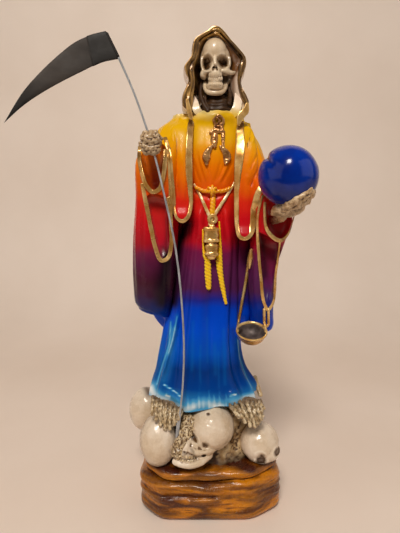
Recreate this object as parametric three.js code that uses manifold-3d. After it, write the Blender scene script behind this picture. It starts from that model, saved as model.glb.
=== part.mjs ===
// A hooded skeleton figure of cast and painted resin, standing on skulls on a two-tier base.
// A bent steel wire with a thin blade stands in its fist as a scythe.
// Millimetres, +Z up. The origin is at the centre of the base's underside and the figure faces -Y.

import * as THREE from 'three';
import { mergeVertices } from 'three/addons/utils/BufferGeometryUtils.js';
import Module from 'manifold-3d';

// Driving dimensions of the whole and of the base.
const overallHeight = 300;
const baseWidth = 90;
const baseDepth = 73;
const lowerTierHeight = 21.7;
const grooveHeight = 1.4;
const grooveDepth = 1.8;
const upperTierHeight = 5.5;
const upperTierInset = 2.4;
const baseEdgeRound = 1;
const frontCornerDepth = 14;
const leftCornerWidth = 14;
const rightCornerWidth = 20;
const backCorner = 12;

// Driving dimensions of the scythe and of what the hands hold.
const shaftDiameter = 1.3;
const shaftFootDiameter = 2.6;
const shaftFootLength = 18;
const shaftClearance = 0.3;
const bladeLength = 68.5;
const bladeRootWidth = 15.8;
const bladeThickness = 1.2;
const bladeSocketWall = 0.8;
const bladeSocketLength = 13.8;
const bladeTurn = 0.16;
const ballDiameter = 32.6;
const panDiameter = 18;
const panDepth = 6;
const panWall = 1.4;
const panTilt = 0.4;
const trimDiameter = 2.2;
const trimSink = 1.1;
const cordDiameter = 1.5;
const ropeDiameter = 2.3;
const hourglassWidth = 8.6;
const hourglassLength = 17;

// The figure is a free form, so it is drawn on a grid of three-hundredths of the height and
// stands on the base, however high that is.
const gridGround = 28.6;
const gridTop = 299.4;
const baseHeight = lowerTierHeight + grooveHeight + upperTierHeight;
const unit = (overallHeight - baseHeight) / (gridTop - gridGround);
const grid = (x, y, z) => new THREE.Vector3(x * unit, y * unit, baseHeight + (z - gridGround) * unit);

const wasm = await Module();
wasm.setup();
const { Manifold, Mesh: ManifoldMesh } = wasm;

// A closed geometry as a solid that can be joined and cut.
function solid(geometry) {
  const bare = geometry.clone();
  bare.deleteAttribute('normal');
  bare.deleteAttribute('uv');
  const merged = mergeVertices(bare, 1e-4);
  const corners = merged.index.array;
  const kept = [];
  for (let i = 0; i < corners.length; i += 3) {
    const [a, b, c] = corners.slice(i, i + 3);
    if (a !== b && b !== c && c !== a) kept.push(a, b, c);
  }
  return new Manifold(new ManifoldMesh({
    numProp: 3,
    vertProperties: new Float32Array(merged.attributes.position.array),
    triVerts: new Uint32Array(kept),
  }));
}

// A solid's surface as a geometry, with its faces flat.
function surface(body) {
  const { vertProperties, triVerts } = body.getMesh();
  const geometry = new THREE.BufferGeometry();
  geometry.setAttribute('position', new THREE.BufferAttribute(vertProperties, 3));
  geometry.setIndex(new THREE.BufferAttribute(triVerts, 1));
  return geometry;
}

// A closed skin through loops of points, alike in number, with a fan over each end.
function skin(loops) {
  const sides = loops[0].length;
  const points = loops.flat();
  const middle = (loop) => loop.reduce((sum, p) => sum.add(p), new THREE.Vector3()).divideScalar(sides);
  const first = points.push(middle(loops[0])) - 1;
  const last = points.push(middle(loops.at(-1))) - 1;
  const faces = [];
  for (let j = 0; j < sides; j += 1) {
    const next = (j + 1) % sides;
    faces.push([first, next, j]);
    const top = (loops.length - 1) * sides;
    faces.push([last, top + j, top + next]);
    for (let i = 0; i < loops.length - 1; i += 1) {
      const low = i * sides;
      const high = low + sides;
      faces.push([low + j, low + next, high + next], [low + j, high + next, high + j]);
    }
  }
  const volume = faces.reduce((sum, [a, b, c]) => (
    sum + points[a].dot(new THREE.Vector3().crossVectors(points[b], points[c]))
  ), 0);
  if (volume < 0) faces.forEach((face) => face.reverse());
  const geometry = new THREE.BufferGeometry().setFromPoints(points);
  geometry.setIndex(faces.flat());
  return solid(geometry);
}

// Smooth values between rows that each start with their place along the form.
function smoothRows(rows) {
  const size = rows[0].length - 1;
  const places = Float32Array.from(rows, (row) => row[0]);
  const values = Float32Array.from(rows.flatMap((row) => row.slice(1)));
  const curve = new THREE.CubicInterpolant(places, values, size);
  return (place) => Array.from(curve.evaluate(place));
}

// A power of a sine or cosine that keeps its sign, for a section between an oval and a box.
const squared = (value, roundness) => Math.sign(value) * Math.abs(value) ** (2 / roundness);

// An upright form. A row is its height, left, right, front and back on the grid.
// A fold pushes the side out by angle and height, and a lift raises it.
function upright(rows, { sides = 24, rings = 8, roundness = 2.3, fold = () => 0, lift = () => 0 } = {}) {
  const at = smoothRows(rows);
  const low = rows[0][0];
  const high = rows.at(-1)[0];
  const loops = [];
  for (let i = 0; i <= rings; i += 1) {
    const height = low + (high - low) * (i / rings);
    const [left, right, front, back] = at(height);
    loops.push(Array.from({ length: sides }, (_, j) => {
      const angle = (2 * Math.PI * j) / sides;
      const across = Math.cos(angle);
      const along = Math.sin(angle);
      const out = fold(angle, height);
      return grid(
        (left + right) / 2 + (squared(across, roundness) * (right - left)) / 2 + out * across,
        (front + back) / 2 + (squared(along, roundness) * (back - front)) / 2 + out * along,
        height + lift(angle, i / rings),
      );
    }));
  }
  return skin(loops);
}

// A rounded lump with half sizes on the grid, turned about its own middle.
function lump(centre, half, { turn = [0, 0, 0], detail = [8, 6] } = {}) {
  const geometry = new THREE.SphereGeometry(unit, ...detail);
  geometry.rotateX(Math.PI / 2);
  geometry.scale(...half);
  geometry.applyMatrix4(new THREE.Matrix4().makeRotationFromEuler(new THREE.Euler(...turn)));
  geometry.translate(...grid(...centre).toArray());
  return solid(geometry);
}

// A bone or finger: a bar with round ends from one point of the grid to another.
function bone(from, to, thickness, sides = 5) {
  const start = grid(...from);
  const end = grid(...to);
  const geometry = new THREE.CapsuleGeometry((thickness * unit) / 2, start.distanceTo(end), 1, sides);
  const direction = end.clone().sub(start).normalize();
  geometry.applyQuaternion(new THREE.Quaternion().setFromUnitVectors(new THREE.Vector3(0, 1, 0), direction));
  geometry.translate(...start.add(end).divideScalar(2).toArray());
  return solid(geometry);
}

// A round bar of real diameter along a smooth route through points in millimetres.
function bar(points, diameter, { sides = 6, steps = points.length } = {}) {
  const section = new THREE.Shape(Array.from({ length: sides }, (_, i) => (
    new THREE.Vector2(
      (diameter / 2) * Math.cos((2 * Math.PI * i) / sides),
      (diameter / 2) * Math.sin((2 * Math.PI * i) / sides),
    )
  )));
  const route = new THREE.CatmullRomCurve3(points);
  return solid(new THREE.ExtrudeGeometry(section, { steps, extrudePath: route, bevelEnabled: false }));
}

// A raised trim, cord or rope along points of the grid. A trim keeps its sink in the cloth.
const trimPlace = (p) => grid(...p).add(new THREE.Vector3(0, trimSink - trimDiameter / 2, 0));
const trim = (points, options) => bar(points.map(trimPlace), trimDiameter, { sides: 4, ...options });
const cord = (points) => bar(points.map((p) => grid(...p)), cordDiameter, { sides: 4 });
const rope = (points) => bar(points.map((p) => grid(...p)), ropeDiameter, { sides: 5 });

const join = (bodies) => Manifold.union(bodies);

// The base: two tiers with a groove between them, and cut front corners of unlike widths.
function baseOutline(inset) {
  const side = baseWidth / 2 - inset;
  const end = baseDepth / 2 - inset;
  return new THREE.Shape([
    [leftCornerWidth - side, -end],
    [side - rightCornerWidth, -end],
    [side, frontCornerDepth - end],
    [side, end - backCorner],
    [side - backCorner, end],
    [backCorner - side, end],
    [-side, end - backCorner],
    [-side, frontCornerDepth - end],
  ].map(([x, y]) => new THREE.Vector2(x, y)));
}

// One tier, whose edges are rounded off within its own height.
function tier(inset, bottom, height) {
  const geometry = new THREE.ExtrudeGeometry(baseOutline(inset + baseEdgeRound), {
    depth: height - 2 * baseEdgeRound,
    bevelThickness: baseEdgeRound,
    bevelSize: baseEdgeRound,
    bevelSegments: 1,
    steps: 1,
  });
  geometry.translate(0, 0, bottom + baseEdgeRound);
  return solid(geometry);
}

// The core behind the groove, which reaches into the tier above and the one below.
function groove() {
  const inset = upperTierInset + grooveDepth;
  const geometry = new THREE.ExtrudeGeometry(baseOutline(inset), {
    depth: grooveHeight + 2 * baseEdgeRound,
    bevelEnabled: false,
  });
  geometry.translate(0, 0, lowerTierHeight - baseEdgeRound);
  return solid(geometry);
}

function base() {
  return join([
    tier(0, 0, lowerTierHeight),
    groove(),
    tier(upperTierInset, lowerTierHeight + grooveHeight, upperTierHeight),
  ]);
}

// A skull in its own frame, one unit from chin to crown, with its face to -Y.
// A row is its height, half width, front and back. A skull sunk in the ground starts above its chin.
const skullRows = [
  [0, 0.12, -0.33, -0.18],
  [0.05, 0.18, -0.37, -0.1],
  [0.14, 0.205, -0.36, 0],
  [0.24, 0.19, -0.37, 0.06],
  [0.34, 0.205, -0.36, 0.1],
  [0.43, 0.25, -0.33, 0.16],
  [0.5, 0.265, -0.31, 0.26],
  [0.62, 0.265, -0.345, 0.37],
  [0.75, 0.265, -0.33, 0.38],
  [0.88, 0.2, -0.22, 0.28],
  [0.96, 0.12, -0.12, 0.16],
  [1, 0.03, -0.03, 0.06],
];
const skullCentre = 0.64;
const mouthHeight = 0.22;

function skull({
  cranium, height, facing, crown, widening = 1, bottom = 0, eyes = 0.535, sides = 12, rings = 11,
}) {
  const back = new THREE.Vector3(...facing).negate().normalize();
  const across = new THREE.Vector3().crossVectors(back, new THREE.Vector3(...crown)).normalize();
  const up = new THREE.Vector3().crossVectors(across, back);
  const size = height * unit;
  const place = new THREE.Matrix4().makeBasis(across, back, up)
    .multiply(new THREE.Matrix4().makeScale(size * widening, size, size))
    .multiply(new THREE.Matrix4().makeTranslation(0, 0, -skullCentre))
    .premultiply(new THREE.Matrix4().makeTranslation(...grid(...cranium).toArray()));
  const at = smoothRows(skullRows);
  const loops = Array.from({ length: rings + 1 }, (_, i) => {
    const level = bottom + (1 - bottom) * (i / rings);
    const [half, front, rear] = at(level);
    return Array.from({ length: sides }, (__, j) => {
      const angle = (2 * Math.PI * (j + 0.5)) / sides;
      return new THREE.Vector3(
        squared(Math.cos(angle), 2.4) * half,
        (front + rear) / 2 + (squared(Math.sin(angle), 2.4) * (rear - front)) / 2,
        level,
      ).applyMatrix4(place);
    });
  });
  const hollow = (middle, half, around = 6) => {
    const geometry = new THREE.SphereGeometry(1, around, 4);
    geometry.rotateX(Math.PI / 2);
    geometry.scale(...half);
    geometry.translate(...middle);
    geometry.applyMatrix4(place);
    return solid(geometry);
  };
  const cuts = [hollow([0, -0.38, 0.415], [0.036, 0.1, 0.055])];
  for (const side of [-1, 1]) {
    cuts.push(hollow([side * 0.125, -0.33, eyes], [0.083, 0.15, 0.095], 8));
    cuts.push(hollow([side * 0.235, -0.2, 0.3], [0.075, 0.15, 0.1]));
  }
  if (bottom < mouthHeight) cuts.push(hollow([0, -0.34, mouthHeight], [0.15, 0.08, 0.016]));
  return skin(loops).subtract(join(cuts));
}

// The ground between base and hem, and the skulls that stand in it.
const mound = [
  [27, -38, 37, -24, 28],
  [40, -38, 34, -21, 28],
  [55, -36, 29, -19, 25],
  [66, -33, 27, -16, 21],
];

function ground() {
  return join([
    upright(mound, { sides: 16, rings: 4, fold: (angle, height) => 1.2 * Math.cos(7 * angle + height / 9) }),
    skull({
      cranium: [-0.8, -21.5, 48],
      height: 43,
      facing: [-0.88, -0.34, 0.2],
      crown: [0.34, 0, 0.92],
      widening: 1.3,
    }),
    skull({
      cranium: [31, -20, 43],
      height: 35.5,
      facing: [0.07, -0.96, -0.28],
      crown: [-0.46, 0, 0.89],
      widening: 1.25,
      bottom: 0.4,
      rings: 7,
    }),
    lump([-32.6, -23, 43.8], [11.8, 13, 16.4], { detail: [10, 8] }),
    lump([-42.4, 8, 52.5], [14, 14.5, 15]),
    lump([-34, 22, 41], [11, 11, 13], { detail: [7, 5] }),
    lump([22, 18, 44], [13, 13, 15], { detail: [7, 5] }),
    lump([-6, 25, 40], [13, 10, 12], { detail: [7, 5] }),
  ]);
}

// The bones of one foot, fanned out below the hem.
function foot([x, y, z], spread, reach) {
  const count = 5;
  const toes = Array.from({ length: count }, (_, i) => {
    const share = i / (count - 1) - 0.5;
    return bone([x + share * spread * 0.7, y, z], [x + share * spread, y - reach, z - reach], 3, 4);
  });
  return [...toes, lump([x, y, z - 5], [spread * 0.46, 7, 6], { detail: [8, 4] })];
}

const feet = () => join([
  ...foot([-29, -20, 68], 18, 10),
  ...foot([22.5, -19, 66.5], 17, 9.5),
]);

// The robe: a tunic that flares to a folded skirt, with an open mantle over its back and sides.
const tunic = [
  [65.5, -40, 31, -26, 22],
  [70, -39.4, 30, -27, 22],
  [85, -35, 22, -25, 21],
  [104, -31.5, 19, -23, 20],
  [130, -27, 19, -21, 19],
  [165, -22, 20, -21, 16],
  [200, -16, 19, -21, 13],
  [225, -19, 22, -22, 11],
  [240, -17, 21, -17, 9],
  [252, -6, 11, -10, 6],
];
const mantle = [
  [97, -30, 30, -8, 27],
  [106, -31, 34, -9, 27.5],
  [135, -34, 37, -11, 27],
  [165, -36, 36, -12, 25],
  [200, -37, 34, -14, 22],
  [222, -36, 31, -15, 19],
  [236, -32, 28, -14, 17],
  [246, -24, 22, -11, 15],
  [253, -9, 11, -7, 12],
];
const skirtFold = (angle, height) => (
  THREE.MathUtils.smoothstep(214 - height, 0, 120) * 1.5 * Math.cos(11 * angle + 1.5 * Math.sin(2 * angle))
);
const mantleFold = (angle, height) => (
  THREE.MathUtils.smoothstep(240 - height, 0, 90) * 1.5 * Math.cos(9 * angle + height / 60)
);
const hemWave = (angle, share) => (1 - share) ** 6 * (1.6 * Math.cos(2 * angle) + 1.4 * Math.cos(5 * angle));

// The left sleeve's lower edge slopes down towards the skirt.
const sleeveSlope = (angle, share) => -3 * (1 - share) ** 5 * Math.cos(angle);

// The hanging sleeves, and the long hollows of their mouths.
const leftSleeve = [
  [121.5, -46.5, -27, -16, 2],
  [126, -48.4, -25.4, -19.4, 4],
  [136, -49.2, -23, -22, 6],
  [165, -49, -21, -26, 8],
  [197, -46.5, -19, -31, 10],
  [212, -44, -18, -31, 10],
  [224, -40, -17, -27, 10],
  [238, -33, -13, -17, 9],
  [248, -24, -10, -8, 7],
];
const rightSleeve = [
  [106, 27.6, 39.4, -16, 4.6],
  [116, 26.6, 39.8, -19, 6],
  [128, 25, 40, -23, 7],
  [150, 24, 41, -27, 8],
  [166, 25, 45.5, -32, 8],
  [182, 26, 50, -35, 8],
  [196, 22, 46, -31, 9],
  [212, 19, 37, -20, 9],
  [228, 15, 32, -13, 9],
  [243, 9, 26, -8, 7],
];
const leftMouths = () => join([
  lump([-34.5, -33, 213], [6.2, 10, 15.5], { turn: [0.1, -0.1, 0] }),
  lump([-30.6, -30, 173], [5, 9, 16], { turn: [0.13, -0.12, 0] }),
]);
const rightMouths = () => join([
  lump([39, -38, 184], [8, 11, 14], { turn: [0, 0.2, 0] }),
  lump([33.6, -30, 150], [4.6, 8.5, 20], { turn: [0.16, 0.14, 0] }),
]);

// The two hanging front edges of the mantle, flat bands with round lower ends.
const leftBand = [
  [180.5, -18.6, -15.6, -24.4, -16],
  [186, -21.2, -13.2, -25, -16],
  [205, -22.6, -12, -25, -16],
  [222, -25, -12.4, -24.5, -14],
  [236, -25, -12, -20.5, -8],
  [244, -20, -12, -14, -5],
];
const rightBand = [
  [170.5, 18.6, 21.8, -25.4, -16],
  [177, 15.6, 25.2, -26, -16],
  [200, 16.6, 26.6, -25, -14],
  [222, 16, 27, -23, -12],
  [236, 16, 25, -18, -8],
  [243, 14, 21, -13, -5],
];

function robe() {
  const hanging = join([
    upright(leftSleeve, { sides: 14, rings: 8, lift: sleeveSlope }),
    upright(rightSleeve, { sides: 14, rings: 8 }),
  ]).subtract(join([leftMouths(), rightMouths()]));
  return join([
    upright(tunic, { sides: 31, rings: 8, fold: skirtFold, lift: hemWave }),
    upright(mantle, { sides: 25, rings: 6, fold: mantleFold }),
    hanging,
    upright(leftBand, { sides: 8, rings: 5, roundness: 4 }),
    upright(rightBand, { sides: 8, rings: 5, roundness: 4 }),
  ]);
}

// The hood's rim, from its left end over the tip to its right end, as seen from the front.
const hoodRim = [
  [-13.2, -19, 240.5],
  [-17.6, -16.5, 252],
  [-15.6, -15, 262],
  [-15.2, -15, 268.5],
  [-16.4, -15, 274.5],
  [-11.8, -15, 280],
  [-9.8, -15, 290.5],
  [0.5, -14, 295.6],
  [3.3, -14, 297.8],
  [6.2, -14, 295.6],
  [13, -15, 289],
  [20.6, -15, 281.5],
  [21.2, -15, 274],
  [18, -15, 266.5],
  [18, -15, 261],
  [22.6, -16.5, 251.5],
  [18, -19, 240],
];

// The hood is drawn from front to back: at each depth its outline keeps a share of the rim's,
// and the hollow keeps its wall.
const hoodMiddle = [2.8, 266];
const hoodDepths = [
  [-15, 1, 1],
  [-8, 1.02, 1],
  [2, 1.02, 0.97],
  [12, 0.9, 0.88],
  [18, 0.66, 0.7],
  [21, 0.34, 0.42],
];
const hollowDepths = [
  [-18, 0.84, 0.9],
  [-8, 0.8, 0.87],
  [2, 0.72, 0.8],
  [8, 0.5, 0.6],
];

function hoodLayers(depths, count) {
  const at = smoothRows(depths);
  const front = depths[0][0];
  const back = depths.at(-1)[0];
  const loops = [];
  for (let i = 0; i <= count; i += 1) {
    const depth = front + (back - front) * (i / count);
    const [wide, high] = at(depth);
    loops.push(hoodRim.map(([x, , z]) => grid(
      hoodMiddle[0] + (x - hoodMiddle[0]) * wide,
      depth,
      hoodMiddle[1] + (z - hoodMiddle[1]) * high,
    )));
  }
  return skin(loops);
}

function hood() {
  const shell = hoodLayers(hoodDepths, 5).subtract(hoodLayers(hollowDepths, 2));
  const drop = upright([
    [208, -14, 17, 4, 18],
    [228, -20, 24, 2, 21],
    [245, -19, 23, -4, 22.5],
    [262, -14, 19, 0, 22],
  ], { sides: 12, rings: 3 });
  return join([shell, drop, trim(hoodRim, { steps: 18 })]);
}

function head() {
  return join([
    skull({
      cranium: [2.8, -10, 278.8],
      height: 36.6,
      facing: [-0.12, -1, 0],
      crown: [0, 0, 1],
      widening: 1.02,
      eyes: 0.475,
    }),
    upright([
      [240, -5, 10, -15, 4],
      [247, -7, 13, -18, 4],
      [256, -6, 12, -13, 4],
      [266, -4, 9, -8, 4],
    ], { sides: 9, rings: 2 }),
  ]);
}

// The hands. The wire's path is bored through the fist afterwards.
function hands() {
  const knuckles = [[215.8, 0.6], [219.6, 0], [223.4, -0.4], [227, 0.6]].map(([z, back]) => (
    bone([-38.4 + back, -38.4, z + 0.7], [-30.6, -41.4 + back, z - 0.9], 4.8, 6)
  ));
  const fingertips = [[56.6, -51, 196.6], [58, -45.5, 197.6], [56.8, -39.8, 197], [52, -35.4, 195]];
  const openFingers = fingertips.map((tip) => bone([44.5, -39.5, 184.6], tip, 3.4));
  return join([
    ...knuckles,
    lump([-34, -36, 221.4], [6.4, 5, 8.4], { detail: [6, 5] }),
    bone([-34, -34, 216], [-34.5, -22, 207], 8),
    ...openFingers,
    bone([42, -40, 184.6], [32, -45, 187], 3.4),
    lump([43.6, -39.6, 185], [6.4, 5.4, 4.8], { turn: [0, -0.5, 0], detail: [6, 5] }),
    bone([41, -37, 183.4], [36, -22, 182], 7.6),
  ]);
}

// The ball lies in the open palm, and has a shallow dent at its upper left.
const palmTop = grid(43.6, -40.8, 189);
const ballDirection = new THREE.Vector3(-0.16, -0.34, 0.93).normalize();
const ballSink = 0.8;

function ball() {
  const radius = ballDiameter / 2;
  const centre = palmTop.clone().addScaledVector(ballDirection, radius - ballSink);
  const geometry = new THREE.SphereGeometry(radius, 15, 10);
  geometry.translate(...centre.toArray());
  const dent = new THREE.SphereGeometry(radius / 2, 8, 6);
  dent.translate(...centre.toArray());
  dent.translate(...new THREE.Vector3(-1.03, -0.74, 0.7).multiplyScalar(radius).toArray());
  return solid(geometry).subtract(solid(dent));
}

// Gold edges: cuffs, hanging mouths and front bands.
const goldEdges = [
  [[-41.8, -31, 220], [-40.4, -32, 210], [-38.2, -32.6, 202], [-33.6, -32.6, 197.2], [-29.8, -32.4, 202],
    [-28.8, -31.4, 211], [-28.8, -28.6, 220]],
  [[-38.2, -31.2, 195], [-36.8, -30, 182], [-34.6, -28.4, 167], [-30.6, -26.6, 156.6], [-26.2, -26, 163],
    [-25.2, -26.8, 178], [-26, -28, 194]],
  [[-12.8, -19, 242], [-12.4, -24.6, 228], [-12, -25.4, 206], [-13, -25.6, 187], [-17, -25, 181],
    [-21, -25.6, 187], [-22.8, -25.8, 206], [-25, -26, 222], [-28, -23, 234]],
  [[17.4, -19.6, 239], [16, -23.6, 226], [16.8, -25.4, 204], [15.6, -26.4, 178], [20, -25.8, 171],
    [25, -26.4, 178], [26.4, -25.6, 196], [26.8, -23.6, 214]],
  [[29.4, -32, 193], [30, -33.4, 180], [33.4, -33, 171.6], [39, -32.6, 168.6], [44.6, -32.6, 173],
    [48.2, -31, 185]],
  [[27.6, -31.4, 172], [28.4, -28.4, 155], [30.2, -25.6, 137], [33.4, -23.8, 128], [36.6, -25, 137],
    [38.6, -28, 155], [40, -31, 166]],
];

// The belt and the rope ends that hang from its knot, and the two cords of the hourglass.
const ropes = [
  [[-15, -19, 205], [-8, -24, 201], [0.4, -26, 198.6], [8, -24.4, 200], [17, -20, 205]],
  [[0.4, -26.6, 198], [2, -26.4, 190], [1.6, -25.4, 181]],
  [[-3.1, -22.2, 169], [-2.7, -22, 154], [-1.9, -21.7, 139.4]],
  [[3.4, -23.6, 180], [5.4, -22, 158], [8.8, -21.4, 131]],
];
const waistCords = [
  [[-11, -22.6, 203], [-6.6, -24.6, 194], [-1.4, -26, 184], [-0.6, -24.6, 174]],
  [[14, -22, 204], [7.6, -25, 194], [-1.4, -26, 184]],
];

// The hourglass hangs from the meeting of its cords and lies against the tunic.
const hourglassTop = [0, -20.2, 177.2];

function hourglass() {
  const half = hourglassWidth / 2;
  const profile = [
    [0, 0], [1, 0], [1, 0.12], [0.84, 0.24], [0.42, 0.48], [0.84, 0.76], [1, 0.88], [1, 1], [0, 1],
  ];
  const geometry = new THREE.LatheGeometry(profile.map(([out, up]) => (
    new THREE.Vector2(out * half, (up - 1) * hourglassLength)
  )), 6);
  geometry.rotateX(Math.PI / 2);
  geometry.translate(...grid(...hourglassTop).toArray());
  geometry.translate(0, -half, 0);
  return solid(geometry);
}

function ornaments() {
  return join([
    ...goldEdges.map((points) => trim(points)),
    ...ropes.map((points) => rope(points)),
    ...waistCords.map((points) => cord(points)),
    lump([0.4, -27, 198.4], [3.4, 2.4, 2.6], { detail: [6, 4] }),
    hourglass(),
    cord([[2, -17, 247], [5.6, -20.4, 240], [4, -22, 233]]),
    lump([3.8, -22, 231.8], [4.8, 1.9, 1.7], { detail: [6, 4] }),
    lump([3.6, -22, 226], [3.8, 2.4, 5.6], { detail: [6, 5] }),
    lump([-3.4, -21.9, 219.6], [2.8, 2.2, 5.4], { turn: [0, 0.3, 0], detail: [6, 4] }),
    lump([9, -21.4, 218.4], [3, 2.4, 5.2], { turn: [0, -0.4, 0], detail: [6, 4] }),
  ]);
}

// The scales: a pan whose back edge is cast to the skirt, tipped forward, and its chains up to the sleeve.
const panBack = grid(24.8, -16.4, 113);

function scales() {
  const outer = panDiameter / 2;
  const centre = panBack.clone().add(new THREE.Vector3(0, -outer, 0));
  const profile = [
    [0, -panDepth],
    [outer * 0.5, -panDepth * 0.9],
    [outer * 0.86, -panDepth * 0.5],
    [outer, 0],
    [outer - panWall, 0],
    [outer * 0.72, panWall - panDepth * 0.55],
    [0, panWall - panDepth],
  ];
  const geometry = new THREE.LatheGeometry(profile.map(([out, up]) => new THREE.Vector2(out, up)), 12);
  geometry.rotateX(Math.PI / 2 + panTilt);
  geometry.translate(...centre.toArray());
  const chain = (route, out, back) => bar([
    ...route.map((p) => grid(...p)),
    centre.clone().add(new THREE.Vector3(out * (outer - panWall / 2), back * outer, back * outer * panTilt)),
  ], cordDiameter, { sides: 4 });
  return join([
    solid(geometry),
    chain([[25.4, -29, 164], [20, -27, 142]], -1, 0),
    chain([[32.6, -23, 131]], 1, 0),
    chain([[33.6, -21, 129]], 0.86, 0.4),
  ]);
}

// The scythe's wire, from its foot in the ground through the fist to the top of the blade's root.
const shaftRoute = [
  [-20.6, -30.5, 46],
  [-20, -31, 56],
  [-18.2, -32, 69],
  [-16.2, -34, 98],
  [-17, -38, 130],
  [-20.6, -41.5, 165],
  [-26.6, -42, 194],
  [-31.2, -40.6, 213],
  [-35.8, -40.4, 229],
  [-43.2, -42.6, 250],
  [-50, -45, 265.5],
];
const shaftEnd = grid(...shaftRoute.at(-1));
const bladeRootTop = grid(-57, -45, 279.6);
const socketDirection = bladeRootTop.clone().sub(shaftEnd).normalize();

function shaftPoints(inSocket) {
  const top = shaftEnd.clone().addScaledVector(socketDirection, inSocket);
  return [...shaftRoute.map((p) => grid(...p)), top];
}

// The wire, or with a clearance its path through the casting and the blade. The foot is thicker.
function shaft(clearance) {
  const points = shaftPoints(bladeSocketLength + clearance);
  const foot = points[0].clone();
  const up = points[1].clone().sub(foot).normalize();
  const footTop = foot.clone().addScaledVector(up, shaftFootLength + clearance);
  foot.addScaledVector(up, -clearance);
  return join([
    bar([foot, ...points.slice(1)], shaftDiameter + 2 * clearance, { steps: 24 }),
    bar([foot, foot.clone().lerp(footTop, 0.5), footTop], shaftFootDiameter + 2 * clearance, { steps: 1 }),
  ]);
}

// The blade: a curved thin sheet whose root edge is folded around the wire.
function blade() {
  const w = bladeRootWidth;
  const l = bladeLength;
  const outline = new THREE.Shape();
  outline.moveTo(0, 0);
  outline.lineTo(0, w);
  outline.quadraticCurveTo(-l * 0.2, w * 1.18, -l * 0.39, w * 0.87);
  outline.quadraticCurveTo(-l * 0.78, w * 0.34, -l, -w * 0.5);
  outline.quadraticCurveTo(-l * 0.62, w * 0.02, -l * 0.3, w * 0.07);
  outline.quadraticCurveTo(-l * 0.12, w * 0.14, 0, 0);
  const sheet = new THREE.ExtrudeGeometry(outline, {
    depth: bladeThickness, bevelEnabled: false, curveSegments: 6,
  });
  sheet.translate(0, 0, -bladeThickness / 2);
  const across = new THREE.Vector3(1, bladeTurn, 0);
  const up = socketDirection.clone();
  const normal = new THREE.Vector3().crossVectors(across, up).normalize();
  const side = new THREE.Vector3().crossVectors(up, normal);
  sheet.applyMatrix4(new THREE.Matrix4().makeBasis(side, up, normal).setPosition(shaftEnd));
  const socketOuter = shaftDiameter + 2 * (shaftClearance + bladeSocketWall);
  const socketReach = bladeSocketLength + shaftClearance + bladeSocketWall;
  const socketTop = shaftEnd.clone().addScaledVector(up, socketReach);
  const socket = bar([shaftEnd, shaftEnd.clone().lerp(socketTop, 0.5), socketTop], socketOuter, {
    sides: 8, steps: 1,
  });
  return join([solid(sheet), socket]).subtract(shaft(shaftClearance));
}

function castFigure() {
  const whole = join([
    base(), ground(), feet(), robe(), hood(), head(), hands(), ball(), ornaments(), scales(),
  ]);
  return whole.subtract(shaft(shaftClearance));
}

const resin = new THREE.MeshStandardMaterial({ color: 0x1f62c8, roughness: 0.28, metalness: 0 });
const steel = new THREE.MeshStandardMaterial({ color: 0x8d8a86, roughness: 0.35, metalness: 1 });
const sheet = new THREE.MeshStandardMaterial({ color: 0x35312f, roughness: 0.4, metalness: 0 });

const group = new THREE.Group();
const add = (name, body, material) => {
  const mesh = new THREE.Mesh(surface(body), material);
  mesh.name = name;
  group.add(mesh);
};
add('cast_figure', castFigure(), resin);
add('scythe_shaft', shaft(0), steel);
add('scythe_blade', blade(), sheet);

export default group;
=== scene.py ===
import math

import bpy
import numpy as np
from bpy.props import FloatProperty, FloatVectorProperty, PointerProperty
from bpy.types import Operator, Panel, PropertyGroup
from mathutils import Matrix, Vector, noise
from mathutils.bvhtree import BVHTree


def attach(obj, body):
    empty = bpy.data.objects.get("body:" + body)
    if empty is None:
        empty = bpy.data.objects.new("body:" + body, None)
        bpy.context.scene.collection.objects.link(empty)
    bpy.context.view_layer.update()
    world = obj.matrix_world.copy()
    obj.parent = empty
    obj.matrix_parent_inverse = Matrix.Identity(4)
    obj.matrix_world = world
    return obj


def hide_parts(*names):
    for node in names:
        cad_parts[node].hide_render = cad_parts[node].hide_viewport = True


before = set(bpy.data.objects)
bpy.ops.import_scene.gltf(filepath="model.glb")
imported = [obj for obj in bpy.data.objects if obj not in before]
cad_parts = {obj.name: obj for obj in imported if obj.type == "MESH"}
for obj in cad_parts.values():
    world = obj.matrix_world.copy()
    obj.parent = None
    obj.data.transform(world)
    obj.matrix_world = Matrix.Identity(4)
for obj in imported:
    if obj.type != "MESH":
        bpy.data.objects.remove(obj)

bl_info = {
    "name": "Hooded skeleton statuette",
    "version": (1, 0, 0),
    "blender": (4, 5, 0),
    "location": "View3D > Sidebar > Statuette",
    "description": "Dresses the packed solids of a cast and painted hooded skeleton figure",
    "category": "Object",
}

# The figure is drawn on a grid of three-hundredths of its height, above the top of its base.
GRID_GROUND = 28.6
BASE_TOP = 28.6
UNIT = 1.00222
MM = 0.001

# The camera, and the size of its view in pixels. Trims and marks are drawn in this view and laid
# on the surface behind them.
CAMERA_PLACE = np.array((-0.0067, -0.2666, 0.1698))
CAMERA_TILT = math.radians(86)
CAMERA_LENS = 27.0
SENSOR = 36.0
VIEW_WIDTH = 400
VIEW_HEIGHT = 533
VIEW_SCALE = CAMERA_LENS / SENSOR * VIEW_HEIGHT
RIGHT = np.array((1.0, 0.0, 0.0))
ABOVE = np.array((0.0, math.cos(CAMERA_TILT), math.sin(CAMERA_TILT)))
AHEAD = np.array((0.0, math.sin(CAMERA_TILT), -math.cos(CAMERA_TILT)))

# The pieces and finishes made so far, the sleeves' forms before their mouths are cut, and the
# effects that the finishes share.
PIECES = {}
FINISHES = {}
UNCUT = {}
EFFECTS = {}


def in_mm(size):
    """A length setting in millimetres, without the rounding of its stored value."""
    return round(size / MM, 4)


def grid(x, y, z):
    """A place on the drawing grid, in metres."""
    return np.array((x * UNIT, y * UNIT, BASE_TOP + (z - GRID_GROUND) * UNIT)) * MM


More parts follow.
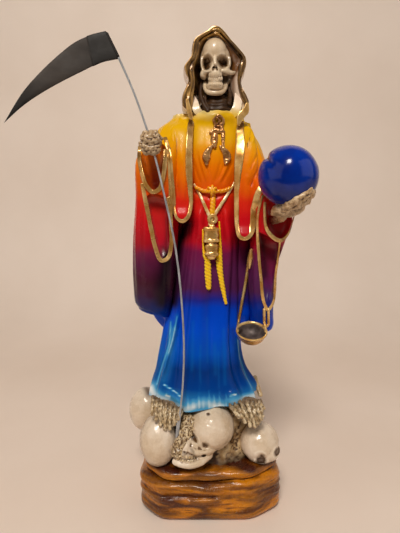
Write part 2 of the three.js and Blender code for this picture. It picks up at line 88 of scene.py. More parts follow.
def seen(points):
    """Where points fall in the camera's view: across, down and how far ahead."""
    away = np.asarray(points) - CAMERA_PLACE
    ahead = away @ AHEAD
    across = VIEW_WIDTH / 2 + VIEW_SCALE * (away @ RIGHT) / ahead
    down = VIEW_HEIGHT / 2 - VIEW_SCALE * (away @ ABOVE) / ahead
    return across, down, ahead


def sight(across, down):
    """The direction of the line of sight through a place in the view."""
    way = AHEAD * VIEW_SCALE + RIGHT * (across - VIEW_WIDTH / 2) + ABOVE * (VIEW_HEIGHT / 2 - down)
    return way / np.linalg.norm(way)


def smooth_rows(rows, places):
    """Values between rows that start with their place, on a cubic through them."""
    rows = np.array(rows, float)
    places = np.clip(places, rows[0, 0], rows[-1, 0])
    first = 2 * rows[0, 0] - rows[1, 0]
    last = 2 * rows[-1, 0] - rows[-2, 0]
    knots = np.concatenate(([first], rows[:, 0], [last]))
    values = np.vstack((rows[1:2, 1:], rows[:, 1:], rows[-2:-1, 1:]))
    i = np.clip(np.searchsorted(rows[:, 0], places, side="right"), 1, len(rows) - 1)
    half = (knots[i + 1] - knots[i]) / 2
    before = half / (knots[i] - knots[i - 1])
    after = half / (knots[i + 2] - knots[i + 1])
    p = (places - knots[i]) / (knots[i + 1] - knots[i])
    weights = (
        -before * p**3 + 2 * before * p**2 - before * p,
        (1 + before) * p**3 + (-1.5 - 2 * before) * p**2 + (before - 0.5) * p + 1,
        (-1 - after) * p**3 + (1.5 + after) * p**2 + 0.5 * p,
        after * p**3 - after * p**2,
    )
    return sum(w[:, None] * values[i - 1 + k] for k, w in enumerate(weights))


def curve(points, count):
    """A smooth run through points, cut into equal steps."""
    points = np.array(points, float)
    steps = np.linalg.norm(np.diff(points, axis=0), axis=1)
    along = np.concatenate(([0], np.cumsum(steps)))
    dense = smooth_rows(np.column_stack((along, points)), np.linspace(0, along[-1], 40 * len(points)))
    length = np.concatenate(([0], np.cumsum(np.linalg.norm(np.diff(dense, axis=0), axis=1))))
    at = np.linspace(0, length[-1], count)
    return np.column_stack([np.interp(at, length, column) for column in dense.T])


def spread(values, count):
    """A few values drawn out evenly to a count of them."""
    return np.interp(np.linspace(0, 1, count), np.linspace(0, 1, len(values)), values)


def unit(vectors):
    """Vectors at a length of one."""
    return vectors / np.maximum(np.linalg.norm(vectors, axis=-1, keepdims=True), 1e-12)


def ease(value, low, high):
    """A soft rise from 0 at low to 1 at high."""
    t = np.clip((value - low) / (high - low), 0, 1)
    return t * t * (3 - 2 * t)


def squared(value, roundness):
    """A power of a sine or cosine that keeps its sign, for sections between an oval and a box."""
    return np.sign(value) * np.abs(value) ** (2 / roundness)


def rough(points, size, octaves=3, seed=0.0):
    """Smooth noise from -1 to 1 at points in metres. Size is that of a lump, one number or three."""
    scaled = np.asarray(points) / (np.asarray(size, float) * MM) + seed
    return np.array([noise.fractal(Vector(p), 0.7, 2.0, octaves) for p in scaled])


# Making and changing meshes.
def deselect():
    """Leaves edit mode and selects nothing."""
    if bpy.context.object and bpy.context.object.mode != "OBJECT":
        bpy.ops.object.mode_set(mode="OBJECT")
    bpy.ops.object.select_all(action="DESELECT")


def pick(*pieces):
    """Selects these pieces alone, the first as the active one."""
    deselect()
    for piece in pieces:
        piece.select_set(True)
    bpy.context.view_layer.objects.active = pieces[0]
    return pieces[0]


def places(piece):
    """The places of a piece's points."""
    found = np.empty(len(piece.data.vertices) * 3)
    piece.data.vertices.foreach_get("co", found)
    return found.reshape(-1, 3)


def normals(piece):
    """The outward directions at a piece's points."""
    found = np.empty(len(piece.data.vertices) * 3)
    piece.data.vertex_normals.foreach_get("vector", found)
    return found.reshape(-1, 3)


def place(piece, points):
    """Moves a piece's points."""
    piece.data.vertices.foreach_set("co", np.ascontiguousarray(points, float).ravel())
    piece.data.update()


def roughen(piece, size, octaves, seed, amount):
    """Moves a piece's skin in and out by smooth noise, an amount in millimetres at most."""
    points = places(piece)
    place(piece, points + normals(piece) * (rough(points, size, octaves, seed) * amount * MM)[:, None])


def tidy_mesh(piece):
    """Merges the points that fall together and turns the faces outwards."""
    pick(piece)
    bpy.ops.object.mode_set(mode="EDIT")
    bpy.ops.mesh.select_all(action="SELECT")
    bpy.ops.mesh.remove_doubles(threshold=1e-6)
    bpy.ops.mesh.dissolve_degenerate(threshold=1e-7)
    bpy.ops.mesh.normals_make_consistent(inside=False)
    bpy.ops.object.mode_set(mode="OBJECT")
    return piece


def wrap(name, points):
    """A grid laid over rows of points, which close on themselves and at both ends."""
    rows, columns = points.shape[:2]
    deselect()
    bpy.ops.mesh.primitive_grid_add(x_subdivisions=columns - 1, y_subdivisions=rows - 1, size=2)
    piece = bpy.context.object
    piece.name = name
    flat = np.round(places(piece), 5)
    placed = np.empty_like(flat)
    placed[np.lexsort((flat[:, 0], flat[:, 1]))] = points.reshape(-1, 3)
    place(piece, placed)
    return tidy_mesh(piece)


def closed(points, steps=4):
    """Rows of points with rows added that draw each end in to its middle."""
    def end(row):
        middle = row[:-1].mean(0)
        return [middle + (row - middle) * (1 - k / steps) for k in range(1, steps + 1)]
    return np.array(end(points[0])[::-1] + list(points) + end(points[-1]))


def upright(name, rows, sides=160, rings=120, roundness=2.3, fold=None, lift=None, ends=5):
    """An upright form. A row is its height, left, right, front and back on the grid."""
    rows = np.array(rows, float)
    height = np.linspace(rows[0, 0], rows[-1, 0], rings + 1)
    left, right, front, back = smooth_rows(rows, height).T[:, :, None]
    angle = np.linspace(0, 2 * np.pi, sides + 1)[None, :]
    level = np.broadcast_to(height[:, None], (rings + 1, sides + 1))
    share = np.linspace(0, 1, rings + 1)[:, None]
    out = fold(angle, level) if fold else 0
    up = lift(angle, share) if lift else 0
    x = (left + right) / 2 + squared(np.cos(angle), roundness) * (right - left) / 2 + out * np.cos(angle)
    y = (front + back) / 2 + squared(np.sin(angle), roundness) * (back - front) / 2 + out * np.sin(angle)
    points = np.stack((x, y, level + up), axis=-1)
    points[:, -1] = points[:, 0]
    points = points * UNIT * MM
    points[..., 2] += (BASE_TOP - GRID_GROUND * UNIT) * MM
    return wrap(name, closed(points, ends))


def travel(path, normal=None):
    """The side and outward directions along a path, turned as little as they can be."""
    along = unit(np.gradient(path, axis=0))
    if normal is not None:
        side = unit(np.cross(along, normal))
        return along, side, np.cross(side, along)
    start = np.array((0, 0, 1.0)) if abs(along[0, 2]) < 0.9 else np.array((1.0, 0, 0))
    side = [unit(np.cross(along[0], start))]
    for way in along[1:]:
        side.append(unit(side[-1] - way * (side[-1] @ way)))
    side = np.array(side)
    return along, side, np.cross(side, along)


def bar(name, path, wide, thick=None, normal=None, sides=12, roundness=2.0, lips=0.0, strands=0, pitch=1.0):
    """A round or flat bar with round ends along a path. Widths are in millimetres, one or one a point.
    Lips raise its two edges. Strands are twisted round it, a turn in each pitch."""
    path = np.array(path, float)
    half = np.broadcast_to(np.asarray(wide, float) / 2 * MM, len(path))
    deep = half if thick is None else np.broadcast_to(np.asarray(thick, float) / 2 * MM, len(path))
    along, side, out = travel(path, normal)
    reach = np.concatenate(([0], np.cumsum(np.linalg.norm(np.diff(path, axis=0), axis=1))))
    cap = np.linspace(0, np.pi / 2, 5)[1:]
    less = np.minimum(half, deep)
    rows = [(0, -less[0] * math.sin(c), math.cos(c)) for c in cap[::-1]]
    rows += [(i, 0, 1) for i in range(len(path))]
    rows += [(len(path) - 1, less[-1] * math.sin(c), math.cos(c)) for c in cap]
    angle = np.linspace(0, 2 * np.pi, sides + 1)
    loops = []
    for i, shift, size in rows:
        grown = size
        if strands:
            turn = strands * angle - 2 * np.pi * reach[i] / (pitch * MM) * strands
            grown = size * (0.88 + 0.22 * np.abs(np.cos(turn / 2)))
        across = squared(np.cos(angle), roundness)
        rise = squared(np.sin(angle), roundness) * (1 - lips + lips * np.abs(across) ** 4)
        loops.append(path[i] + along[i] * shift
                     + np.outer(across * half[i] * grown, side[i]) + np.outer(rise * deep[i] * grown, out[i]))
    points = np.array(loops)
    points[:, -1] = points[:, 0]
    return wrap(name, points)


def blob(name, centre, half, turn=(0, 0, 0), segments=32, rings=20):
    """A rounded lump with half sizes in metres."""
    deselect()
    bpy.ops.mesh.primitive_uv_sphere_add(segments=segments, ring_count=rings, radius=1,
                                         location=centre, rotation=turn, scale=half)
    piece = bpy.context.object
    piece.name = name
    bpy.ops.object.transform_apply(location=True, rotation=True, scale=True)
    return piece


def join(name, parts):
    """Makes one piece of parts."""
    pick(*parts)
    if len(parts) > 1:
        bpy.ops.object.join()
    parts[0].name = name
    parts[0].data.name = name
    return parts[0]


def apply(piece, kind, **settings):
    """Adds a modifier, sets it and applies it."""
    pick(piece)
    bpy.ops.object.modifier_add(type=kind)
    modifier = piece.modifiers[-1]
    for key, value in settings.items():
        setattr(modifier, key, value)
    bpy.ops.object.modifier_apply(modifier=modifier.name)
    return piece


def melt(piece, voxel, smooth=4):
    """Grows lumps that touch into one skin."""
    apply(piece, "REMESH", mode="VOXEL", voxel_size=voxel)
    if smooth:
        apply(piece, "SMOOTH", factor=0.5, iterations=smooth)
    return piece


def cut(piece, tool):
    """Cuts a closed tool out of a piece. The new faces take the piece's second material."""
    tool_places = places(tool)
    apply(piece, "BOOLEAN", operation="DIFFERENCE", object=tool, solver="EXACT")
    tree = BVHTree.FromPolygons([Vector(p) for p in tool_places],
                                [tuple(f.vertices) for f in tool.data.polygons])
    for face in piece.data.polygons:
        near = tree.find_nearest(face.center, 0.0004)
        if near[0] is not None and (near[0] - face.center).length < 0.00003:
            face.material_index = 1
    bpy.data.objects.remove(tool)
    return piece


def copy_at(piece, matrix):
    """A copy with its own mesh, placed by a matrix."""
    pick(piece)
    bpy.ops.object.duplicate()
    made = bpy.context.object
    made.data.transform(Matrix(matrix))
    if Matrix(matrix).determinant() < 0:
        made.data.flip_normals()
    made.data.update()
    return made


# Laying drawn lines on surfaces.
def form(piece):
    """The points and faces of a piece as it is now."""
    return [Vector(p) for p in places(piece)], [list(f.vertices) for f in piece.data.polygons]


def surface(*pieces):
    """The surface of pieces, or of forms kept from before a cut, as one tree for lines of sight."""
    points = []
    faces = []
    for piece in pieces:
        found, sides = piece if isinstance(piece, tuple) else form(piece)
        faces += [[len(points) + v for v in side] for side in sides]
        points += found
    return BVHTree.FromPolygons(points, faces)


def lay(route, tree, proud=0.0, count=60, soften=3):
    """Points drawn in the view, laid on a surface along the lines of sight, and its normals there."""
    drawn = curve(route, count)
    ways = np.array([sight(*p) for p in drawn])
    far = np.full(count, np.nan)
    out = np.zeros((count, 3))
    for i, way in enumerate(ways):
        hit = tree.ray_cast(Vector(CAMERA_PLACE), Vector(way))
        if hit[0] is not None:
            far[i] = hit[3]
            out[i] = hit[1]
    hits = ~np.isnan(far)
    index = np.arange(count)
    far = np.interp(index, index[hits], far[hits])
    out[~hits] = -ways[~hits]
    for _ in range(soften):
        ends = far[[0, -1]]
        far = np.convolve(np.pad(far, 1, mode="edge"), (0.25, 0.5, 0.25), "valid")
        far[[0, -1]] = ends
    for _ in range(soften + 3):
        out = (np.roll(out, 1, 0) + out + np.roll(out, -1, 0) + out) / 4
    out = unit(np.where((out * ways).sum(1, keepdims=True) > 0, -out, out) * 0.6 - ways * 0.8)
    return CAMERA_PLACE + ways * far[:, None] + out * proud * MM, out


def near_line(across, down, route, count=80):
    """How far points of the view are from a drawn line, and how far along it they are, 0 to 1."""
    line = curve(route, count)
    best = np.full(len(across), 1e9)
    share = np.zeros(len(across))
    for k, (a, b) in enumerate(zip(line[:-1], line[1:])):
        way = b - a
        t = np.clip(((across - a[0]) * way[0] + (down - a[1]) * way[1]) / max(way @ way, 1e-9), 0, 1)
        far = np.hypot(across - a[0] - t * way[0], down - a[1] - t * way[1])
        closer = far < best
        best[closer] = far[closer]
        share[closer] = ((k + t) / (count - 1))[closer]
    return best, share


def stroke(piece, routes, wide, height, taper=0.12):
    """Raises or sinks the front of a piece along lines drawn in the view. Wide is in pixels of the
    view, height in millimetres along the line of sight."""
    points = places(piece)
    out = normals(piece)
    across, down, _ = seen(points)
    ways = unit(points - CAMERA_PLACE)
    facing = ease(-(out * ways).sum(1), 0.0, 0.35)
    move = np.zeros(len(points))
    for route in routes:
        far, share = near_line(across, down, route)
        fade = ease(np.minimum(share, 1 - share), -1e-3, taper)
        move += np.exp(-(far / wide) ** 2.0) * fade
    place(piece, points - ways * (np.clip(move, 0, 1.3) * facing * height * MM)[:, None])
    return piece


def paint(piece, name, values, add=False):
    """Writes a value from 0 to 1 on each point of a piece."""
    layer = piece.data.attributes.get(name) or piece.data.attributes.new(name, "FLOAT", "POINT")
    values = np.asarray(values, float)
    if add:
        old = np.empty(len(values))
        layer.data.foreach_get("value", old)
        values = values + old
    layer.data.foreach_set("value", np.clip(values, 0, 1).astype(np.float32))


def paint_stain_and_shade(piece, routes, wide, amount=1.0, name="shade"):
    """Paints a soft line, drawn in the view, on the front of a piece. Into the shade attribute it paints
    painted shade and shadow, and a few real stains; into the pale attribute, the hem's brushed white and
    painted highlights.
    """
    across, down, _ = seen(places(piece))
    facing = ease(-(normals(piece) * unit(places(piece) - CAMERA_PLACE)).sum(1), -0.1, 0.2)
    total = np.zeros(len(across))
    for route in routes:
        far, _ = near_line(across, down, route)
        total = np.maximum(total, np.exp(-(far / wide) ** 2) * amount * facing)
    paint(piece, name, total, add=True)


def hollows(piece, reach):
    """Writes on each point how deep it lies among its neighbours, 0.5 where it is level."""
    points = places(piece)
    edges = np.empty(len(piece.data.edges) * 2, int)
    piece.data.edges.foreach_get("vertices", edges)
    a, b = edges.reshape(-1, 2).T
    span = np.linalg.norm(points[a] - points[b], axis=1).mean()
    rounds = int(np.clip((reach * MM / span) ** 2, 3, 60))
    count = np.maximum(np.bincount(a, minlength=len(points)) + np.bincount(b, minlength=len(points)), 1)
    soft = points.copy()
    for _ in range(rounds):
        total = np.stack([np.bincount(a, soft[b, k], len(points)) + np.bincount(b, soft[a, k], len(points))
                          for k in range(3)], axis=1)
        soft = 0.5 * soft + 0.5 * total / count[:, None]
    deep = ((soft - points) * normals(piece)).sum(1) / (reach * MM)
    paint(piece, "hollow", 0.5 + 2.2 * deep)


def finish(piece, slot, *names, reach=1.5, angle=math.radians(50)):
    """Gives a piece its finishes by name, its hollows and its place in the frame."""
    hollows(piece, reach)
    if "shade" not in piece.data.attributes:
        paint(piece, "shade", np.zeros(len(piece.data.vertices)))
    kept = np.empty(len(piece.data.polygons), int)
    piece.data.polygons.foreach_get("material_index", kept)
    piece.data.materials.clear()
    for name in names:
        piece.data.materials.append(FINISHES[name])
    piece.data.polygons.foreach_set("material_index", np.minimum(kept, len(names) - 1))
    pick(piece)
    bpy.ops.object.shade_smooth_by_angle(angle=angle)
    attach(piece, "root")
    PIECES[piece.name] = piece
    return piece


def on_plane(across, down, depth):
    """The point seen at a place in the view, on the upright plane at a depth in millimetres."""
    way = sight(across, down)
    return CAMERA_PLACE + way * (depth * MM - CAMERA_PLACE[1]) / way[1]


def press(piece, spots, edge=0.4, shade=0.0, ragged=0.0):
    """Sinks ovals drawn in the view: across, down, half across, half down, turn and depth in millimetres.
    Shade paints the sunk ovals darker as painted shade of the hollows.
    """
    points = places(piece)
    across, down, _ = seen(points)
    ways = unit(points - CAMERA_PLACE)
    facing = ease(-(normals(piece) * ways).sum(1), 0.0, 0.3)
    uneven = rough(points, 2.6, 2, 5.0) * ragged if ragged else 0
    total = np.zeros(len(points))
    for x, y, half, tall, turn, depth in spots:
        c, s = math.cos(turn), math.sin(turn)
        u = ((across - x) * c + (down - y) * s) / half
        v = ((down - y) * c - (across - x) * s) / tall
        inside = (1 - ease(np.hypot(u, v) + uneven, 1 - edge, 1 + edge / 2)) * facing
        points = points + ways * (inside * depth * MM)[:, None]
        total = np.maximum(total, inside)
    place(piece, points)
    # Painted shade in the sunk ovals, darkest at their middle.
    if shade:
        paint(piece, "shade", total * shade, add=True)
    return piece


# Finishes.
def tone(red, green, blue):
    """A screen colour from 0 to 255 as the linear colour that the shaders take."""
    return tuple(((c / 255 + 0.055) / 1.055) ** 2.4 if c > 10 else c / 3295
                 for c in (red, green, blue)) + (1.0,)


def node(tree, kind, values=None, **settings):
    """A node with its settings. Values are numbers, colours or the sockets that feed it."""
    made = tree.nodes.new("ShaderNode" + kind)
    for key, value in settings.items():
        setattr(made, key, value)
    for key, value in (values or {}).items():
        if isinstance(value, bpy.types.NodeSocket):
            tree.links.new(value, made.inputs[key])
        else:
            made.inputs[key].default_value = value
    return made


def ranged(tree, value, low, high, to_low=0.0, to_high=1.0, **settings):
    """A value taken from one range to another."""
    ends = {"Value": value, "From Min": low, "From Max": high, "To Min": to_low, "To Max": to_high}
    return node(tree, "MapRange", ends, **settings).outputs["Result"]


def mix(tree, share, first, second, **settings):
    """Two colours mixed by a share."""
    return node(tree, "Mix", {0: share, 6: first, 7: second}, data_type="RGBA", **settings).outputs[2]


def effect(name, inputs, outputs):
    """A shader node group and its two ends. Its sockets are colours or numbers, as their values are."""
    tree = bpy.data.node_groups.new(name, "ShaderNodeTree")
    for way, sockets in (("INPUT", inputs), ("OUTPUT", outputs)):
        for label, value in sockets.items():
            kind = "NodeSocketColor" if isinstance(value, tuple) else "NodeSocketFloat"
            tree.interface.new_socket(label, in_out=way, socket_type=kind).default_value = value
    return tree, tree.nodes.new("NodeGroupInput").outputs, tree.nodes.new("NodeGroupOutput").inputs


def make_wash():
    """Brown wash that settles in hollows, wear that lightens raised places, and the darkening of the shade
    attribute, which is painted shade and shadow, with a few real stains.
    """
    tree, given, out = effect("settled_wash", {
        "Color": (0.5, 0.5, 0.5, 1), "Wash": (0.1, 0.05, 0.02, 1), "Shade": (0.02, 0.01, 0.01, 1),
        "Start": 0.52, "Full": 0.8, "Patches": 300.0, "Wear": 0.2,
    }, {"Color": (0, 0, 0, 1), "Mask": 0.0})
    hollow = node(tree, "Attribute", attribute_name="hollow").outputs["Fac"]
    shade = node(tree, "Attribute", attribute_name="shade").outputs["Fac"]
    place_on = node(tree, "TexCoord").outputs["Object"]
    patches = node(tree, "TexNoise", {"Vector": place_on, "Scale": given["Patches"], "Detail": 4.0})
    uneven = ranged(tree, patches.outputs["Fac"], 0.3, 0.7, -0.09, 0.09)
    level = node(tree, "Math", {0: hollow, 1: uneven}, operation="ADD").outputs[0]
    mask = ranged(tree, level, given["Start"], given["Full"], interpolation_type="SMOOTHSTEP")
    washed = mix(tree, mask, given["Color"], given["Wash"])
    raised = ranged(tree, level, 0.46, 0.2)
    worn = node(tree, "Math", {0: raised, 1: given["Wear"]}, operation="MULTIPLY").outputs[0]
    lifted = mix(tree, worn, washed, (1, 1, 1, 1), blend_type="SOFT_LIGHT")
    tree.links.new(mix(tree, shade, lifted, given["Shade"]), out["Color"])
    tree.links.new(mask, out["Mask"])
    return tree


def make_gloss():
    """Gloss that varies from place to place, as on dipped paint and paint put on with a brush."""
    tree, given, out = effect("uneven_gloss", {"Size": 120.0, "Low": 0.2, "High": 0.4},
                              {"Roughness": 0.0, "Height": 0.0})
    place_on = node(tree, "TexCoord").outputs["Object"]
    broad = node(tree, "TexNoise", {"Vector": place_on, "Scale": given["Size"], "Detail": 3.0})
    gloss = ranged(tree, broad.outputs["Fac"], 0.3, 0.7, given["Low"], given["High"])
    finer = node(tree, "Math", {0: given["Size"], 1: 7.0}, operation="MULTIPLY")
    fine = node(tree, "TexNoise", {"Vector": place_on, "Scale": finer.outputs[0], "Detail": 2.0})
    half = node(tree, "Math", {0: fine.outputs["Fac"], 1: 0.35}, operation="MULTIPLY")
    height = node(tree, "Math", {0: broad.outputs["Fac"], 1: half.outputs[0]}, operation="ADD")
    tree.links.new(gloss, out["Roughness"])
    tree.links.new(height.outputs[0], out["Height"])
    return tree


def start_finish(name, metallic=0.0, coat=0.0, coat_roughness=0.08, specular=0.5):
    """A new material with its shader's plain values."""
    material = bpy.data.materials.new(name)
    material.use_nodes = True
    tree = material.node_tree
    shader = tree.nodes["Principled BSDF"]
    shader.inputs["Metallic"].default_value = metallic
    shader.inputs["Coat Weight"].default_value = coat
    shader.inputs["Coat Roughness"].default_value = coat_roughness
    shader.inputs["Specular IOR Level"].default_value = specular
    return material, tree, shader


def end_finish(tree, shader, color, wash, shade, start=0.54, full=0.8, patches=300.0, wear=0.2,
               size=120.0, low=0.2, high=0.4, bump=0.00012):
    """Feeds a colour through the wash, the painted shade and the gloss into the shader."""
    washed = node(tree, "Group", node_tree=EFFECTS["wash"])
    tree.links.new(color, washed.inputs["Color"])
    for key, value in (("Wash", wash), ("Shade", shade), ("Start", start), ("Full", full),
                       ("Patches", patches), ("Wear", wear)):
        washed.inputs[key].default_value = value
    gloss = node(tree, "Group", node_tree=EFFECTS["gloss"])
    for key, value in (("Size", size), ("Low", low), ("High", high)):
        gloss.inputs[key].default_value = value
    relief = node(tree, "Bump", {"Height": gloss.outputs["Height"], "Distance": bump, "Strength": 1.0})
    tree.links.new(washed.outputs["Color"], shader.inputs["Base Color"])
    tree.links.new(gloss.outputs["Roughness"], shader.inputs["Roughness"])
    tree.links.new(relief.outputs["Normal"], shader.inputs["Normal"])


def ramp(tree, value, stops):
    """A colour ramp over stops of place and colour, from the first place to the last."""
    low, high = stops[0][0], stops[-1][0]
    made = node(tree, "ValToRGB", {"Fac": ranged(tree, value, low, high)})
    colors = made.color_ramp.elements
    while len(colors) < len(stops):
        colors.new(0.5)
    for element, (at, color) in zip(list(colors), stops):
        element.position = (at - low) / (high - low)
    for element, (at, color) in zip(sorted(colors, key=lambda e: e.position), stops):
        element.color = color
    return made.outputs["Color"]


def mixed(paints, color):
    """A colour given as a screen colour or as the name of one of the paints."""
    return tuple(getattr(paints, color)) if isinstance(color, str) else tone(*color)


def by_height(tree, paints, bands, sway=3.0, size=45.0):
    """A ramp over the height in millimetres, whose edges sway a little as airbrushed ones do."""
    place_on = node(tree, "TexCoord").outputs["Object"]
    height = node(tree, "SeparateXYZ", {0: place_on}).outputs["Z"]
    cloud = node(tree, "TexNoise", {"Vector": place_on, "Scale": size, "Detail": 2.0})
    moved = ranged(tree, cloud.outputs["Fac"], 0.3, 0.7, -sway * MM, sway * MM)
    level = node(tree, "Math", {0: height, 1: moved}, operation="ADD")
    return ramp(tree, level.outputs[0], [(at * MM, mixed(paints, color)) for at, color in bands])


def clouds(tree, dark, light, size, stretch=(1, 1, 1), low=0.35, high=0.65, detail=5.0, distortion=0.0):
    """Two colours mixed by noise on Object coordinates."""
    place_on = node(tree, "TexCoord").outputs["Object"]
    mapped = node(tree, "Mapping", {"Vector": place_on, "Scale": stretch})
    cloud = node(tree, "TexNoise", {"Vector": mapped.outputs[0], "Scale": size, "Detail": detail,
                                             "Distortion": distortion})
    return mix(tree, ranged(tree, cloud.outputs["Fac"], low, high), dark, light)


# Bands of paint by height in millimetres.
ROBE_BANDS = [
    (60, (180, 204, 208)), (66, (110, 172, 206)), (71, (30, 104, 166)), (77, (0, 60, 142)), (88, "deep_blue"),
    (98, (0, 78, 188)), (112, "blue"), (127, (0, 62, 192)), (132, (30, 38, 140)), (138, "violet"),
    (152, "purple"), (161, (116, 26, 72)), (168, (186, 18, 36)), (180, "red"), (192, (218, 40, 18)),
    (201, "orange"), (213, (238, 122, 2)), (222, "amber"), (230, (230, 170, 4)), (243, "yellow"),
    (249, (226, 206, 140)), (256, "cream"),
]
SLEEVE_BANDS = [
    (110, (0, 70, 190)), (124, (4, 60, 160)), (128, (14, 46, 126)), (132, (48, 36, 84)), (136, (66, 32, 60)),
    (142, (70, 26, 44)), (154, (89, 28, 62)), (161, (114, 32, 64)), (168, (166, 20, 34)),
] + [band for band in ROBE_BANDS if band[0] > 175]
LINING_BANDS = [
    (130, (8, 36, 140)), (140, (84, 24, 84)), (158, (128, 22, 62)), (168, (196, 18, 40)),
    (190, (216, 36, 24)), (198, (220, 84, 12)), (220, (230, 120, 20)),
]
HOOD_BANDS = [
    (208, (226, 150, 4)), (238, (230, 178, 14)), (244, (236, 200, 90)), (248, (244, 220, 180)),
    (256, (242, 218, 196)), (300, (236, 212, 192)),
]
ROPE_BANDS = [(130, (246, 190, 8)), (175, "rope"), (186, (246, 166, 6)), (205, (244, 148, 6))]
# Colours of the pale attribute: the brushed white of the hem, and the painted highlights along the skirt's
# fold ridges and at the hem.
BRUSHED_EDGE_AND_HIGHLIGHT = [(0.2, (20, 110, 184)), (0.5, (76, 160, 208)), (0.75, (178, 212, 230)), (1.0, "hem_and_highlight_white")]

# Finishes in one cloudy colour: the material's name, its shader's values, its darker and lighter
# colour, the size and stretch of its clouds, the wash, the shade, and how both lie.
CLOUDED = {
    "gold": ("antique_gold", {"metallic": 0.55, "coat": 0.3}, "gold_deep", "gold_bright", (140.0,),
             (84, 48, 18), (60, 32, 14), dict(start=0.56, full=0.95, high=0.36, wear=0.5)),
    "rim": ("rim_gold", {"metallic": 0.5, "coat": 0.3}, (88, 58, 18), (158, 118, 58), (150.0,),
            (56, 32, 10), (54, 32, 16), dict(start=0.52, full=0.85, high=0.38, wear=0.6, bump=0.00015)),
    "pale_gold": ("pale_gold", {"metallic": 0.25, "coat": 0.4}, (216, 164, 84), (252, 228, 172), (400.0,),
                  (128, 70, 20), (100, 54, 20),
                  dict(start=0.56, full=0.95, high=0.34, wear=0.4, bump=0.00015)),
    "copper": ("copper_gold", {"metallic": 0.6, "coat": 0.25}, (132, 82, 38), (206, 150, 92), (220.0,),
               (70, 36, 14), (50, 28, 12), dict(start=0.53, high=0.36, wear=0.5, bump=0.0002)),
    "bone": ("bone_enamel", {"coat": 0.4}, "bone_deep", "bone_bright", (60.0,), (104, 72, 38), (70, 44, 24),
             dict(start=0.55, full=0.82, patches=900.0, high=0.36, wear=0.35)),
    "head": ("head_enamel", {"coat": 0.4}, "head_deep", "head_bright", (90.0,), (112, 80, 44), (74, 46, 22),
             dict(full=0.82, patches=900.0, high=0.34, wear=0.35)),
    "toe": ("toe_enamel", {"coat": 0.2}, (176, 146, 102), (226, 202, 162), (500.0,), (96, 64, 28),
            (84, 54, 24), dict(start=0.44, full=0.68, patches=1500.0, low=0.25, high=0.45, wear=0.4)),
    "hand": ("hand_enamel", {"coat": 0.3}, (176, 140, 96), (224, 192, 150), (500.0,), (98, 64, 28),
             (82, 56, 30),
             dict(start=0.48, full=0.78, patches=1200.0, low=0.25, high=0.45, wear=0.4, bump=0.0003)),
    "neck": ("neck_wash", {"specular": 0.25}, (50, 28, 10), (78, 52, 26), (220.0, (1, 1, 3)), (30, 14, 8),
             (30, 14, 8), dict(start=0.5, full=0.7, low=0.4, high=0.6, wear=0.3)),
    "earth": ("earth_wash", {"coat": 0.3}, (146, 112, 68), (210, 182, 138), (260.0,), (74, 46, 20),
              (52, 24, 8), dict(start=0.48, full=0.7, patches=900.0, low=0.25, high=0.45, wear=0.4)),
    "ball": ("ball_enamel", {"coat": 0.32, "coat_roughness": 0.12, "specular": 0.24}, "ball_deep",
             "ball_bright", (60.0,), (6, 16, 60), (4, 12, 50),
             dict(low=0.14, high=0.24, wear=0.0, size=50.0, bump=0.0001)),
    "pan": ("pan_grey", {"metallic": 0.2, "specular": 0.2}, (70, 60, 58), (110, 98, 94), (200.0,),
            (40, 30, 26), (30, 14, 8), dict(low=0.3, high=0.5)),
    "wire": ("steel_wire", {"metallic": 0.15, "coat": 0.2}, "wire_deep", "wire_bright",
             (800.0, (1, 1, 0.1)), (90, 82, 76), (30, 14, 8),
             dict(low=0.28, high=0.45, wear=0.3, size=400.0, bump=0.00005)),
    "blade": ("blade_lacquer", {"specular": 0.16}, "blade_deep", "blade_bright", (50.0, (0.4, 1, 2)),
              (26, 20, 16), (10, 7, 4), dict(low=0.4, high=0.55, wear=0.4, size=90.0, bump=0.00008)),
}

# Finishes in airbrushed bands: the material's name, its shader's values, its bands, the wash,
# the shade, and how both lie.
BANDED = {
    "sleeve": ("sleeve_enamel", {"coat": 0.06, "coat_roughness": 0.06, "specular": 0.14}, SLEEVE_BANDS,
               (24, 10, 30), (22, 6, 20), dict(start=0.6, full=1.1, high=0.34, wear=0.15, size=70.0)),
    "lining": ("lining_enamel", {"coat": 0.2, "specular": 0.3}, LINING_BANDS, (50, 10, 14), (22, 4, 10),
               dict(start=0.85, full=1.4, low=0.25, wear=0.0, size=70.0)),
    "hood": ("hood_enamel", {"coat": 0.4}, HOOD_BANDS, (150, 116, 84), (104, 64, 28),
             dict(start=0.72, full=1.2, low=0.22, size=70.0)),
    "rope": ("rope_enamel", {"coat": 0.3}, ROPE_BANDS, (150, 74, 4), (90, 40, 6),
             dict(full=0.85, low=0.25, wear=0.5)),
}


